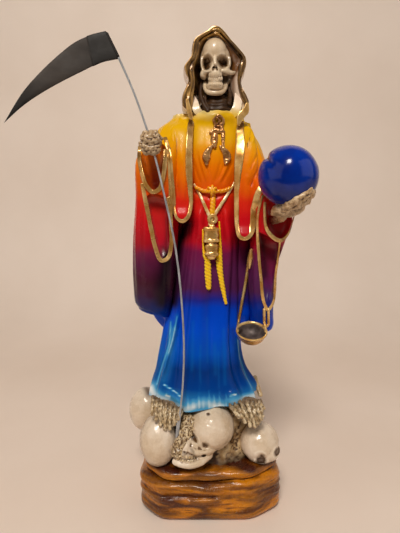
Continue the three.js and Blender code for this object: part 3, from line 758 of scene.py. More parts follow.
def make_finishes(paints):
    """Mixes every finish of the figure from the paints."""
    EFFECTS["wash"] = make_wash()
    EFFECTS["gloss"] = make_gloss()
    for key, (name, values, deep, bright, cloud, wash, shade, settings) in CLOUDED.items():
        FINISHES[key], tree, shader = start_finish(name, **values)
        color = clouds(tree, mixed(paints, deep), mixed(paints, bright), *cloud)
        end_finish(tree, shader, color, tone(*wash), tone(*shade), **settings)
    for key, (name, values, bands, wash, shade, settings) in BANDED.items():
        FINISHES[key], tree, shader = start_finish(name, **values)
        end_finish(tree, shader, by_height(tree, paints, bands), tone(*wash), tone(*shade), **settings)

    FINISHES["robe"], tree, shader = start_finish("robe_enamel", coat=0.04,
                                                  coat_roughness=0.06, specular=0.11)
    # The pale attribute lightens the robe: the brushed white of the hem, and painted highlights along fold
    # ridges and at the hem.
    pale = node(tree, "Attribute", attribute_name="pale").outputs["Fac"]
    share = ranged(tree, pale, 0.0, 0.4)
    edge = ramp(tree, pale, [(at, mixed(paints, color)) for at, color in BRUSHED_EDGE_AND_HIGHLIGHT])
    banded_with_pale_and_highlights = mix(tree, share, by_height(tree, paints, ROBE_BANDS), edge)
    end_finish(tree, shader, banded_with_pale_and_highlights, tone(24, 10, 30), tone(22, 6, 20), start=0.7, full=1.2, low=0.26,
               wear=0.15, size=70.0)

    FINISHES["wood"], tree, shader = start_finish("wood_enamel", coat=0.28,
                                                  coat_roughness=0.12, specular=0.28)
    streaks = clouds(tree, mixed(paints, "wood_deep"), mixed(paints, "wood_bright"), 42.0, (0.5, 0.5, 2.6),
                     0.43, 0.57, 8.0, 1.4)
    grain = clouds(tree, tone(74, 30, 0), tone(212, 138, 22), 120.0, (0.3, 0.3, 2.6), 0.4, 0.6, 6.0)
    end_finish(tree, shader, mix(tree, 0.3, streaks, grain), tone(74, 32, 8), tone(66, 24, 8), start=0.52,
               full=0.74, patches=160.0, low=0.16, high=0.42, wear=0.3, size=380.0, bump=0.0007)


# The base, the ground and what stands on it.
def base_outline(sizes, count):
    """The outline of the lower tier with its corners cut and rounded, in millimetres."""
    side, end = sizes.width / MM / 2, sizes.depth / MM / 2
    front, left, right, back = (v / MM for v in (sizes.front_corner, sizes.left_corner, sizes.right_corner,
                                                 sizes.back_corner))
    corners = np.array([
        (left - side, -end), (side - right, -end), (side, front - end), (side, end - back),
        (side - back, end), (back - side, end), (-side, end - back), (-side, front - end),
        (left - side, -end),
    ])
    steps = np.concatenate(([0], np.cumsum(np.linalg.norm(np.diff(corners, axis=0), axis=1))))
    dense = np.column_stack([
        np.interp(np.linspace(0, steps[-1], 1200, endpoint=False), steps, column) for column in corners.T
    ])
    window = np.hanning(85)
    soft = np.column_stack([
        np.convolve(np.pad(column, 42, mode="wrap"), window / window.sum(), "valid") for column in dense.T
    ])
    picked = soft[np.linspace(0, 1200, count, endpoint=False).astype(int)]
    return np.vstack((picked, picked[:1]))


def make_base(sizes):
    """The two tiers as one block, from the underside up and in over the top."""
    outline = base_outline(sizes, 290)
    side, end = sizes.width / MM / 2, sizes.depth / MM / 2
    low = sizes.lower_height / MM

    # How far in from the outline the side lies at each height, in millimetres.
    profile = curve([
        (2.6, 0), (1.0, 0.4), (0.4, 1.6), (0.2, 4.4), (0.35, 7.4), (0.15, 10), (0, 11.6), (0.2, 13),
        (0.55, 14.4), (0.25, 15.8), (0, 17.4), (0.15, 18.6), (0.45, 19.8), (0.9, low - 0.9), (2.2, low + 0.2),
        (3.8, low + 0.7), (4.4, low + 1.1), (3.9, low + 1.6), (2.7, low + 2.2), (2.3, low + 3.6),
        (2.7, low + 5.2), (3.9, low + 6.4), (5.8, BASE_TOP), (9, BASE_TOP - 0.1), (17, BASE_TOP),
    ], 112)
    rows = []
    for inset, height in profile:
        shrunk = outline * (1 - inset / side, 1 - inset / end)
        rows.append(np.column_stack((shrunk, np.full(len(shrunk), height))))
    points = np.array(rows)
    flat = points.reshape(-1, 3)
    sides = ease(flat[:, 2], 0.3, 2.5) * (1 - ease(flat[:, 2], BASE_TOP - 0.6, BASE_TOP - 0.1))
    relief = rough(flat * MM, (30, 30, 4.4), 3, 3.0) * 0.9 + rough(flat * MM, (10, 10, 1.5), 2, 8.0) * 0.16
    outward = unit(flat[:, :2] / (side, end))
    flat[:, :2] += outward * (relief * sides)[:, None]
    wave = ease(flat[:, 2], 3, 9) * (0.8 + 0.6 * ease(flat[:, 2], low - 3, low + 4))
    flat[:, 2] += wave * rough(flat * MM, (30, 30, 60), 2, 5.0)
    corner = ease(flat[:, 0], 30, 40) * (1 - ease(flat[:, 1], -16, 0)) * ease(flat[:, 2], low, low + 5)
    flat[:, 2] += corner * 2.2
    points = points * MM
    points[:, -1] = points[:, 0]
    piece = wrap("base_block", closed(points, 8))
    stroke(piece, [[(160, 497), (176, 496), (196, 497.4), (218, 496.6)]], 2.2, -1.0)
    stroke(piece, [[(196, 492.6), (214, 491.6), (240, 492.8)],
                   [(188, 501.6), (214, 500.6), (240, 502)]], 1.6, 0.5)
    stroke(piece, [[(188, 504), (200, 508), (206, 511.6)], [(206, 511.6), (214, 507), (224, 502)]], 2.0, -0.3)
    # Painted shade on the top among the skulls, darker inwards and in patches.
    found = places(piece) / MM
    inner = 1 - ease(np.abs(found[:, 0]) / side + np.abs(found[:, 1]) / end * 0.4, 0.55, 1.1)
    top = ease(found[:, 2], BASE_TOP - 2, BASE_TOP - 0.5)
    paint(piece, "shade", top * ease(rough(found * MM, 20, 2, 1.0), -0.3, 0.25) * (0.35 + 0.5 * inner))
    paint_stain_and_shade(piece, [[(192, 502), (204, 505), (218, 502)], [(204, 508), (206, 511)]], 3.6, 0.75)
    # Painted shade in the grooves and in the seam under the upper tier, and painted shadow on the top beside
    # the skulls.
    paint_stain_and_shade(piece, [[(162, 497), (180, 496.6), (215, 497)], [(140, 470), (150, 474)],
                  [(176, 482), (200, 483), (232, 482.6)]], 2.0, 0.7)
    paint_stain_and_shade(piece, [[(158, 466), (170, 470), (176, 472)], [(228, 462), (240, 467), (252, 469)]], 4.0, 0.85)
    finish(piece, "wood_paint", "wood", reach=2.0)


# Rows of an upright form are its height, left, right, front and back on the grid.
MOUND = [(27, -38, 37, -24, 28), (40, -38, 34, -21, 28), (55, -36, 29, -19, 25), (66, -33, 27, -16, 21)]


def make_ground():
    def lumps(angle, height):
        return 1.2 * np.cos(7 * angle + height / 9) + 0.6 * np.cos(17 * angle - height / 4)
    piece = upright("ground", MOUND, 170, 58, fold=lumps)
    roughen(piece, 5, 3, 2.0, 0.9)
    # Painted shade towards its foot, where it meets the top of the base and the skulls.
    paint(piece, "shade", (1 - ease(places(piece)[:, 2], 29 * MM, 36 * MM)) * 0.8)
    strip = rod([(255, 377, 0), (257.6, 386, -4), (260.6, 395, -8)], 3.0, 2.4)
    finish(join("ground", [piece, strip]), "bone_paint", "earth", reach=2.0)


def lump(across, down, depth, half, turn=(0, 0, 0)):
    """A rounded lump set at a place in the view and a depth, with half sizes in millimetres."""
    return blob("lump", on_plane(across, down, depth), np.array(half) * MM, turn, 40, 28)


def rod(points, wide, thick=None):
    """A round rod through places given by their place in the view and their depth."""
    return bar("rod", curve([on_plane(*p) for p in points], 40), wide, thick, sides=16)


def bare_skull():
    """A skull one unit high without its jaw, with its face to -Y and its crown up."""
    parts = [
        blob("cranium", (0, 0.07, 0.7), (0.262, 0.33, 0.3), segments=48),
        blob("brow", (0, -0.1, 0.72), (0.235, 0.245, 0.21)),
        blob("upper_jaw", (0, -0.2, 0.38), (0.165, 0.16, 0.17)),
        blob("cheeks", (0, -0.02, 0.5), (0.2, 0.24, 0.13)),
    ]
    for side in (-1, 1):
        arch = np.array([(0.17, -0.24, 0.42), (0.25, -0.1, 0.42), (0.25, 0.04, 0.46)]) * (side, 1, 1)
        parts.append(bar("rod", curve(arch, 24), 75, sides=16))
    piece = melt(join("bare_skull", parts), 0.0165, 3)
    points = places(piece)
    for x, z, a, b in ((-0.12, 0.52, 0.088, 0.09), (0.12, 0.52, 0.088, 0.09), (0, 0.4, 0.04, 0.06)):
        inside = 1 - ease(np.hypot((points[:, 0] - x) / a, (points[:, 2] - z) / b), 0.6, 1.1)
        points[:, 1] += inside * (points[:, 1] < -0.08) * 0.13
    place(piece, points)
    return piece


def skull_place(cranium, height, facing, crown, widening):
    """The matrix that sets a skull of unit height by its cranium, its facing and its crown."""
    back = -unit(np.array(facing, float))
    across = unit(np.cross(back, np.array(crown, float)))
    up = np.cross(across, back)
    size = height * UNIT * MM
    matrix = np.eye(4)
    matrix[:3, 0] = across * size * widening
    matrix[:3, 1] = back * size
    matrix[:3, 2] = up * size
    matrix[:3, 3] = grid(*cranium) - up * size * 0.64
    return matrix


def teeth_on(name, tree, rows):
    """Rows of teeth laid on a face: places in the view, how many, and half sizes in millimetres."""
    teeth = []
    for route, count, half in rows:
        one = blob("tooth", (0, 0, 0), half, segments=14, rings=10)
        place(one, squared(places(one) / half, 3.0) * half * MM)
        path, out = lay(route, tree, 0.2, count, 1)
        along = unit(np.gradient(path, axis=0))
        for spot, way, front in zip(path, along, out):
            matrix = np.eye(4)
            up = unit(np.cross(way, front))
            matrix[:3, 0], matrix[:3, 1], matrix[:3, 2], matrix[:3, 3] = way, np.cross(up, way), up, spot
            teeth.append(copy_at(one, matrix))
        bpy.data.objects.remove(one)
    return join(name, teeth)


def make_skulls():
    middle = melt(join("skull_middle", [
        lump(210.8, 425.8, -19, (14.9, 15.5, 14.6)), lump(200, 437, -25, (8, 8, 8.5)),
        lump(192, 446, -28, (7.2, 6.6, 7)), lump(185, 452.5, -30.5, (6.2, 5.4, 5)),
        lump(196, 455.5, -28, (9.5, 6, 5)),
        rod([(189.5, 438, -31), (187, 446, -34.6), (183, 453, -35.4)], 3.2),
        rod([(190, 449.5, -34.6), (196, 452.6, -34.4), (205, 451.4, -32.4), (216, 447, -27)], 3.4),
        lump(203, 446.6, -27, (9, 6.4, 5)),
        rod([(176, 461.6, -33.2), (182, 463.6, -34.6), (192, 464.6, -34.6), (201, 461.6, -32.6),
             (209, 455, -28.6)], 4.8), lump(188, 460, -31, (8, 4.6, 4)), lump(181, 449, -32, (3.6, 4.6, 3.6)),
    ]), 0.00046, 4)
    # Sunk eye socket, temple, gaps by the teeth and a hole in the cranium, with painted shade in them.
    press(middle, [(193.8, 437.4, 2.6, 6.2, -0.6, 3.0), (205.6, 445.2, 3.8, 2.8, 0.3, 1.6)],
          edge=0.85, shade=0.62)
    press(middle, [(194.6, 457.8, 2.2, 1.5, 0, 1.4), (204, 455.6, 2.6, 1.3, -0.2, 1.4),
                   (184.4, 452, 1.6, 1.0, 0.4, 0.8), (179, 450.6, 1.6, 1.0, 0.4, 0.8),
                   (208.3, 414.2, 2.2, 1.8, 0, 1.0)], edge=0.7, shade=0.7)
    stroke(middle, [[(187, 433), (190, 442), (191, 449)],
                    [(197, 446), (202, 450), (209, 450)]], 1.2, -0.5, 0.3)
    stroke(middle, [[(189, 448), (193.6, 452), (191, 455)],
                    [(176, 461.5), (186, 463.4), (198, 461)]], 1.0, -0.5, 0.3)
    # Painted shade along the teeth and beside the cheek.
    paint_stain_and_shade(middle, [[(175, 457.2), (186, 459.4), (197, 459.4)], [(191, 449), (194, 456), (190, 458)],
                   [(176, 452.4), (190, 454)]], 1.7, 0.5)
    teeth = teeth_on("teeth_middle", surface(middle), [
        ([(174.8, 454.6), (184, 456.8), (194.6, 457.4)], 9, (0.6, 0.55, 0.8)),
        ([(175.6, 458.8), (184, 460.8), (193, 460.8)], 8, (0.55, 0.55, 0.66)),
    ])
    face = rod([(189, 420, -24), (185.4, 431, -28.6), (182, 442, -31.6), (178, 452, -33)], 9.0, 8.0)
    face = melt(face, 0.0004, 2)
    roughen(face, 1.9, 2, 5.0, 0.7)
    teeth = join("teeth_middle", [teeth, face])
    paint(teeth, "shade", 0.1 + 0.5 * ease(rough(places(teeth), 2.0, 2, 3.0), -0.1, 0.35))
    finish(teeth, "bone_paint", "toe", reach=0.8)

    right = melt(join("skull_right", [
        lump(259.4, 441.4, -19, (12.2, 12.8, 12.6)), lump(268, 450, -24.5, (7.4, 6.6, 6.8)),
        lump(262, 455.5, -25, (7.6, 6, 4.4)),
    ]), 0.00048, 3)
    # Sunk sockets, with painted shade in them.
    press(right, [(260.8, 461.6, 5.4, 7.4, 0.2, 3.8), (277.4, 451.6, 2.8, 5.4, 0.42, 2.6)], edge=0.55,
          shade=0.8, ragged=0.12)
    stroke(right, [[(253, 459), (256, 453.4), (262, 452), (268, 456)]], 1.2, 0.5, 0.2)

    bare = bare_skull()
    placed = {
        "skull_back": skull_place((-10, 22, 43), 34, (-0.25, 0.95, -0.1), (0.1, 0, 1), 1.15),
        "skull_back_right": skull_place((22, 17, 45), 34, (0.75, 0.65, -0.1), (0, 0.1, 1), 1.15),
    }
    made = {name: copy_at(bare, matrix) for name, matrix in placed.items()}
    bpy.data.objects.remove(bare)
    made["skull_left"] = blob("skull_left", grid(-32.6, -23, 43.8), np.array((11.8, 13, 16.4)) * UNIT * MM,
                              segments=96, rings=64)
    made["skull_back_left"] = blob("skull_back_left", on_plane(146.6, 408.4, 9),
                                   np.array((12, 13.4, 15)) * MM, segments=96, rings=64)
    paint_stain_and_shade(made["skull_back_left"], [[(146, 386), (149, 393)]], 4.0, 0.9)
    made["skull_middle"] = middle
    made["skull_right"] = right
    for name, piece in made.items():
        piece.name = name
        roughen(piece, 5, 3, 4.0, 0.2)
        # Painted shade towards the foot of each skull, where it sits on the base; on the front skull, also
        # painted shade along its outline as seen from the camera.
        low = 1 - ease(places(piece)[:, 2], 29 * MM, 35 * MM)
        paint(piece, "shade", low * 0.4, add=True)
        if name == "skull_left":
            across, down, _ = seen(places(piece))
            side = ease(np.hypot((across - 158.6) / 18.4, (down - 441) / 26), 0.88, 1.04)
            paint(piece, "shade", side * 0.3, add=True)
        finish(piece, "bone_paint", "bone", reach=1.6)


def knotty(wide, count=90, shift=0.0):
    """Widths in millimetres along the bones of a toe or finger, with a knob at each joint."""
    share = np.linspace(0, 1, count)
    knob = sum(np.exp(-((share - at) / 0.06) ** 2) for at in (0.02 + shift, 0.3 + shift, 0.56 + shift, 0.97))
    return wide * (0.74 + 0.38 * np.clip(knob, 0, 1))


# Toe bones: the places in the view where each starts and ends.
TOES = [
    (153, 399, 152.4, 414), (157.2, 401, 156, 419.5), (161.6, 402.5, 160.4, 425),
    (166.2, 404.5, 165.2, 428.6), (170.8, 406.5, 169.8, 428.6), (175.4, 408.5, 174.2, 424),
    (180, 410, 178, 418.6), (229.6, 407, 239, 417), (234.6, 405.6, 245, 421.6), (240, 404, 250.4, 425.6),
    (245.8, 402.6, 255, 426.4), (250.6, 402.6, 257.6, 424), (255, 402.6, 261, 419), (258.6, 402.6, 262, 411),
]


def make_feet(sizes):
    wide = in_mm(sizes.toe_width)
    toes = []
    for k, (sx, sy, ex, ey) in enumerate(TOES):
        start = on_plane(sx, sy - 2, -25)
        end = on_plane(ex, ey, -32.4)
        middle = (start + end) / 2 + np.array((0, -1.8, 0.8)) * MM
        toes.append(bar("toe", curve([start, middle, end], 34),
                        knotty(wide, 34, 0.09 * (k % 3)), 2.4, sides=11))
        shift = np.array((1.3, 1.6, -0.6)) * MM
        toes.append(bar("toe", curve([start + shift, middle + shift, end + shift * (1, 1, -2)], 30),
                        knotty(1.8, 30, 0.05), 2.0, sides=9))
    for x, spread in ((-26.5, 11), (22.5, 10)):
        toes.append(blob("instep", grid(x, -18.6, 63), np.array((spread, 7, 6)) * MM, segments=40, rings=24))
    piece = join("toe_bones", toes)
    points = places(piece)
    roughen(piece, 1.4, 3, 6.0, 0.45)
    # The toes darker towards the back, as painted shade under the hem, and in random brown patches.
    behind = ease(places(piece)[:, 1], -29.5 * MM, -26 * MM)
    patches = 0.12 + ease(rough(points, 2.2, 3, 1.0), -0.1, 0.3) * 0.5
    paint(piece, "shade", np.maximum(behind * 0.8, patches))
    finish(piece, "bone_paint", "toe", reach=1.1)


# The robe.
TUNIC = [
    (65.5, -40, 31, -26, 22), (70, -39.4, 30, -27, 22), (85, -35, 22, -25, 21), (104, -31.5, 19, -23, 20),
    (130, -27, 19, -21, 19), (165, -22, 20, -21, 16), (200, -16, 19, -21, 13), (225, -19, 22, -22, 11),
    (239, -17.6, 21.4, -18.6, 9), (244, -13, 18, -19.8, 8.4), (247.4, -10.6, 16.4, -17.6, 7.6),
    (252, -7, 12, -11, 6),
]
MANTLE = [
    (98, -27, 28, -8, 27), (106, -29, 31, -9, 27.5), (111, -33, 34, -9, 27.5), (116, -36.4, 35, -10, 27),
    (121, -38.8, 36, -10, 27), (135, -38.6, 37, -11, 27), (165, -36, 36, -12, 25),
    (200, -37, 34, -14, 22), (222, -36, 31, -15, 19), (236, -32, 28, -14, 17), (246, -24, 22, -11, 15),
    (253, -9, 11, -7, 12),
]
LEFT_SLEEVE = [
    (121.5, -46.5, -27, -16, 2), (126, -48.4, -25.4, -19.4, 4), (136, -49.2, -23, -22, 6),
    (165, -49, -21, -26, 8), (197, -46.8, -19, -31, 10), (209, -47, -18, -32, 10),
    (217, -46.4, -17.6, -31, 10), (223, -43.4, -17, -28, 10), (230, -37, -15.4, -23, 9.6),
    (238, -33, -13, -17, 9), (248, -24, -10, -8, 7),
]
RIGHT_SLEEVE = [
    (109, 30.6, 37, -12, 2), (110.4, 28.6, 39.6, -15, 4.6), (113.4, 27, 41, -17.6, 5.4),
    (120, 26.2, 40.8, -20, 6.4), (128, 25, 40.4, -23, 7), (150, 24, 41, -27, 8),
    (166, 25, 45.5, -32, 8), (182, 26, 50, -35, 8), (196, 22, 46, -31, 9), (212, 19, 37, -20, 9),
    (228, 15, 32, -13, 9), (243, 9, 26, -8, 7),
]
LEFT_PANEL = [
    (179.6, -18.8, -15.8, -25, -16), (180.6, -20.6, -14, -26, -16), (183, -22.2, -12.6, -26.5, -16),
    (185.5, -22.5, -12.2, -25.9, -16), (188, -22.8, -12, -24.9, -16), (193, -22.9, -12, -24.5, -16),
    (205, -23, -11.8, -24.8, -16), (222, -25, -12.2, -24.5, -14),
    (236, -25, -12, -20.5, -8), (244, -20, -12, -14, -5),
]
RIGHT_PANEL = [
    (168.8, 18.8, 21.8, -26, -16), (169.8, 17, 23.6, -27, -16), (171.8, 15.6, 25.2, -27.4, -16),
    (174.4, 15.3, 25.8, -26.5, -16), (177, 15, 26.2, -25.5, -16), (183, 15, 26.6, -25.2, -16),
    (200, 15.6, 28, -25, -14), (222, 15.6, 28, -23, -12), (236, 15.6, 25.4, -18, -8),
    (243, 14, 21, -13, -5),
]
LEFT_CUFF = [(158, 137), (149, 136), (141, 144), (138.7, 152.8), (140.7, 163.6), (143, 177), (147.5, 188),
             (152.9, 192), (159.8, 188.8), (162, 182.7), (165, 163.6), (165.9, 146)]
LEFT_MOUTH = [(160, 194), (150, 193), (145.2, 198), (148.3, 213.3), (151.8, 232), (155.6, 247.4),
              (161.7, 260.4), (167.8, 258), (170.9, 247.4), (170, 228), (169.4, 213), (167, 197.7)]
RIGHT_CUFF = [(284, 198), (272, 198), (264.8, 205), (264.8, 216), (266.5, 230.5), (275, 239.5), (282, 240.8),
              (287.5, 235), (291.5, 226), (294.6, 216), (294, 204)]
RIGHT_MOUTH = [(272, 238), (264, 234), (257.6, 231.4), (258, 248.4), (260.7, 277), (264.3, 306.4),
               (267.9, 308.2), (273.2, 303.8), (275.9, 272.5), (280.4, 241.3)]


def skirt_fold(angle, height):
    """How far the tunic's folds stand out, in millimetres, growing towards the hem."""
    low = ease(214 - height, 0, 120)
    wide = 1.5 * np.cos(11 * angle + 1.5 * np.sin(2 * angle))
    fine = 0.45 * np.cos(23 * angle + 2.3 * np.sin(3 * angle) + height / 40)
    return low * (wide + fine * (0.4 + 0.6 * ease(height, 70, 120)))


def mantle_fold(angle, height):
    """How far the mantle's folds stand out, in millimetres, deeper at its back."""
    low = ease(240 - height, 0, 90)
    back = ease(np.sin(angle), 0.0, 0.6)
    deep = 1.3 * np.cos(19 * angle + 1.4 * np.sin(3 * angle) + height / 90)
    return low * (1.5 * np.cos(9 * angle + height / 60) + back * deep)


def hem_wave(angle, share):
    """How far the hem rises and falls, in millimetres."""
    return (1 - share) ** 6 * (1.6 * np.cos(2 * angle) + 1.4 * np.cos(5 * angle))


def make_robe():
    tunic = upright("tunic", TUNIC, 264, 190, fold=skirt_fold, lift=hem_wave)
    roughen(tunic, (9, 9, 30), 2, 1.0, 0.35)
    folds_down = [
        [(196, 148), (200, 166), (206, 184)], [(192.5, 158), (197, 174), (202, 186)],
        [(204, 156), (207.5, 170), (211, 185)], [(229, 150), (224, 166), (216, 184)],
        [(233.5, 160), (227, 174), (220, 186)], [(222, 158), (218, 172), (213.5, 185)],
    ]
    stroke(tunic, folds_down, 1.4, -0.5, 0.25)
    stroke(tunic, [[(199, 152), (203, 168), (208, 184)],
                   [(230.5, 158), (224.5, 171), (218, 185)]], 1.5, 0.6, 0.3)
    stroke(tunic, [[(192, 190), (212, 196), (233, 189)]], 3.0, -1.4)
    stroke(tunic, [[(197, 203), (199, 222), (203, 244)],
                   [(226, 205), (227.5, 224), (231, 248)]], 4.0, 1.9, 0.3)
    stroke(tunic, [[(205, 200), (206, 226), (208, 250)], [(221, 200), (221.5, 224), (223, 250)],
                   [(192, 214), (188, 260), (181, 300)],
                   [(236, 205), (238.5, 250), (238, 300)]], 2.2, -1.3, 0.3)
    stroke(tunic, [[(179, 312), (173, 338), (167, 360), (159, 386)],
                   [(172, 322), (166, 346), (160, 366), (153, 384)],
                   [(237.5, 330), (238.6, 352), (242, 370), (250, 388)]], 1.3, 1.2, 0.2)
    stroke(tunic, [[(185, 300), (176, 340), (170, 362), (166, 388)],
                   [(234, 320), (235, 352), (237, 372), (243, 392)]], 2.2, -1.2, 0.2)
    stroke(tunic, [[(164, 389), (172, 396), (182, 403)], [(226, 396), (234, 392), (243, 390)]], 2.0, 1.1, 0.3)
    stroke(tunic, [[(197, 330), (195, 392)], [(210, 310), (210, 395)], [(222, 318), (224, 392)]],
           1.8, -0.45, 0.3)
    # Painted shade in the gaps between the tunic and the sleeves, and on the dark side of the right fold.
    paint_stain_and_shade(tunic, [[(187, 224), (180, 242), (175, 270), (173, 302)]], 7.5, 1.0)
    paint_stain_and_shade(tunic, [[(238, 236), (243, 268), (247, 300)]], 6.0, 0.6)
    paint_stain_and_shade(tunic, [[(233, 330), (238, 356), (246, 378)]], 3.0, 0.35)
    paint_stain_and_shade(tunic, [[(150, 390), (160, 398), (170, 402), (183, 409)], [(188, 408), (204, 404), (222, 406)],
                  [(232, 403), (246, 400), (258, 396)]], 7.5, 0.6, "pale")
    paint_stain_and_shade(tunic, [[(150, 388), (156, 398), (166, 400)], [(244, 398), (258, 395)]], 3.6, 0.3, "pale")
    paint_stain_and_shade(tunic, [[(176, 406), (184, 410), (194, 407)], [(212, 406), (222, 407)]], 2.6, 0.22, "pale")
    for across, top in ((199, 393), (203.6, 396), (209, 391), (214, 395), (219.4, 392), (226, 394),
                        (188, 396), (193, 399)):
        paint_stain_and_shade(tunic, [[(across, top), (across + 0.4, 408)]], 0.9, 0.2, "pale")
    # Painted highlights: white glints along the hem.
    paint_stain_and_shade(tunic, [[(164, 385), (172, 389.6), (180.6, 396.6)], [(166, 394.6), (169.6, 397)],
                  [(230.6, 395.6), (236, 394.6)]], 0.8, 0.8, "pale")
    # Painted highlights along the ridges of the skirt's folds.
    lines = [[(170.6, 322), (169, 344), (162, 366), (157, 384)], [(177, 316), (173, 338), (168, 354)],
             [(237.6, 340), (240, 358), (246, 376), (252, 388)]]
    paint_stain_and_shade(tunic, lines, 2.4, 0.2, "pale")
    paint_stain_and_shade(tunic, lines, 0.6, 0.26, "pale")
    # A soft painted sheen beside the ridges of the left folds.
    paint_stain_and_shade(tunic, [[(159, 334), (158, 352), (153, 372), (151, 386)], [(174, 330), (170, 356), (164, 380)]],
          5.0, 0.24, "pale")
    # Faint painted highlights along the pleats of the skirt.
    paint_stain_and_shade(tunic, [[(193, 322), (192, 370)], [(214.5, 344), (215.6, 374)], [(223.6, 330), (225, 384)]],
          1.8, 0.09, "pale")
    paint_stain_and_shade(tunic, [[(200.6, 346), (200, 390)], [(207, 318), (207.4, 362)], [(218.4, 352), (219, 388)]],
          0.8, 0.1, "pale")
    paint_stain_and_shade(tunic, [[(198, 109), (206, 113.4), (216, 115.4), (228, 112)]], 1.6, 0.22)
    finish(tunic, "robe_paint", "robe")

    def raised_right(angle, share):
        return 12 * (1 - share) ** 9 * ease(np.cos(angle), 0.0, 0.7) * (1 - ease(np.sin(angle), 0.2, 0.9))
    mantle = upright("mantle", MANTLE, 250, 150, fold=mantle_fold, lift=raised_right)
    roughen(mantle, (10, 10, 34), 2, 5.0, 0.4)
    # Painted shade in the gaps beside the tunic and the sleeves.
    paint_stain_and_shade(mantle, [[(174, 222), (171, 260), (169, 302)]], 11, 0.95)
    paint_stain_and_shade(mantle, [[(252, 240), (254, 270), (254, 300)]], 7, 0.6)
    finish(mantle, "robe_paint", "robe")


def mouth_tool(outline, tree, deep):
    """A closed tool for a sleeve's mouth, from its outline in the view back into the cloth."""
    outline = curve(outline + outline[:1], 72)
    outline[-1] = outline[0]
    middle = outline[:-1].mean(0)
    hit = tree.ray_cast(Vector(CAMERA_PLACE), Vector(sight(*middle)))
    loops = []
    for step, size in ((-12, 1.0), (-4, 1.0), (deep * 0.5, 0.97), (deep * 0.8, 0.86), (deep, 0.6)):
        drawn = middle + (outline - middle) * size
        loops.append([CAMERA_PLACE + sight(*p) * (hit[3] + step * MM) for p in drawn])
    return wrap("mouth_tool", closed(np.array(loops), 3))


def make_sleeves():
    def slope(angle, share):
        return -3 * (1 - share) ** 5 * np.cos(angle)

    def gather(angle, height):
        return 0.3 * np.cos(11 * angle + height / 22) * ease(height, 118, 150)
    left = upright("sleeve_left", LEFT_SLEEVE, 150, 165, fold=gather, lift=slope)
    right = upright("sleeve_right", RIGHT_SLEEVE, 150, 175, fold=gather)
    stroke(left, [[(171, 140), (173, 175), (174, 205)], [(174.5, 120), (176, 132)]], 1.6, 0.6, 0.3)
    stroke(left, [[(168.5, 142), (170, 176), (171.5, 205)]], 1.0, -0.9, 0.3)
    stroke(left, [[(141, 200), (140, 240), (141, 290)], [(148, 262), (149, 300)]], 3.0, -0.6, 0.3)
    for piece, outlines, deeps in ((left, (LEFT_CUFF, LEFT_MOUTH), (10, 6)),
                                   (right, (RIGHT_CUFF, RIGHT_MOUTH), (12, 8))):
        tree = surface(piece)
        UNCUT[piece.name] = form(piece)
        for outline, deep in zip(outlines, deeps):
            cut(piece, mouth_tool(outline, tree, deep))
    # Painted shade in the gap between the left sleeve and the tunic, along the left sleeve's fold beside its
    # mouth and cuff, under the right sleeve's mouth, and in the gap beside the right sleeve.
    paint_stain_and_shade(left, [[(167, 264), (163, 282), (162, 302)]], 10, 0.95)
    paint_stain_and_shade(left, [[(168, 200), (168.6, 228), (166, 256)], [(163, 150), (164, 176)]], 3.4, 0.6)
    paint_stain_and_shade(right, [[(262, 320), (266, 300)]], 8, 0.4)
    paint_stain_and_shade(right, [[(261, 238), (264, 256), (265, 276)]], 3.6, 0.75)
    finish(left, "robe_paint", "sleeve", "lining")
    finish(right, "robe_paint", "robe", "lining")


def make_panels():
    left = upright("panel_left", LEFT_PANEL, 80, 100, roundness=4)
    right = upright("panel_right", RIGHT_PANEL, 84, 112, roundness=4)
    stroke(left, [[(179, 142), (183.5, 165), (183.5, 190), (183, 208)]], 2.0, 1.0, 0.2)
    stroke(left, [[(174, 124), (176, 140), (177, 176), (178.6, 200)]], 1.2, -0.8, 0.2)
    stroke(right, [[(253, 126), (249, 140), (246, 152)], [(260, 150), (253, 164), (247, 178)],
                   [(261, 164), (255, 176), (249, 190)]], 1.3, -1.0, 0.3)
    stroke(right, [[(257, 157), (251, 170), (247, 182)], [(257, 130), (252, 144)]], 1.4, 0.8, 0.3)
    stroke(right, [[(250, 150), (247, 180), (245.6, 226)]], 2.4, 0.6, 0.2)
    finish(left, "robe_paint", "robe")
    finish(right, "robe_paint", "robe")


# The hood: pairs of places on the outer and the inner edge of its rim, as seen in the view.
HOOD_EDGES = [
    ((182.5, 106), (192.5, 112)), ((182, 98), (193, 103)), ((185, 89), (194.4, 92)),
    ((188.2, 80), (195.4, 82)), ((185.4, 73), (194.6, 73)), ((184, 66.4), (195.4, 66)),
    ((187.4, 61.6), (197.4, 60)), ((191.8, 55), (199.2, 52)), ((192.4, 47), (200.6, 46)),
    ((194.6, 39.4), (203.4, 40)), ((201, 34.8), (208.6, 37)), ((207.6, 31), (212.6, 35.6)),
    ((212.8, 26.8), (215.4, 35)), ((218.6, 26.8), (218.4, 35.6)), ((224.4, 32), (222.4, 39)),
    ((232.2, 41.4), (228.4, 45.6)), ((240, 50.2), (235.4, 53)), ((245.6, 57.6), (240, 60)),
    ((246.6, 64), (238.8, 66)), ((244, 72), (238, 72)), ((241, 80), (237.6, 80)), ((242, 87.6), (238.4, 88)),
    ((246, 95), (241, 98)), ((249, 103), (244.6, 106)), ((240, 119), (236, 114)), ((228, 122), (226, 116)),
    ((214, 124), (214, 118)), ((200, 121), (201, 116)),
]
HOOD_MIDDLE = (2.8, 266)
HOOD_BACK = [(-13, 1, 1), (-8, 1.02, 1), (2, 1.02, 0.97), (12, 0.9, 0.88), (18, 0.66, 0.7), (21, 0.34, 0.42)]
HOOD_INSIDE = [(-15, 1, 1), (-11, 0.95, 0.97), (-5, 0.82, 0.88), (1, 0.6, 0.7), (5, 0.3, 0.4)]
HOOD_DROP = [(208, -14, 17, 4, 18), (228, -20, 24, 2, 21), (245, -19, 23, -4, 22.5), (262, -14, 19, 0, 22)]


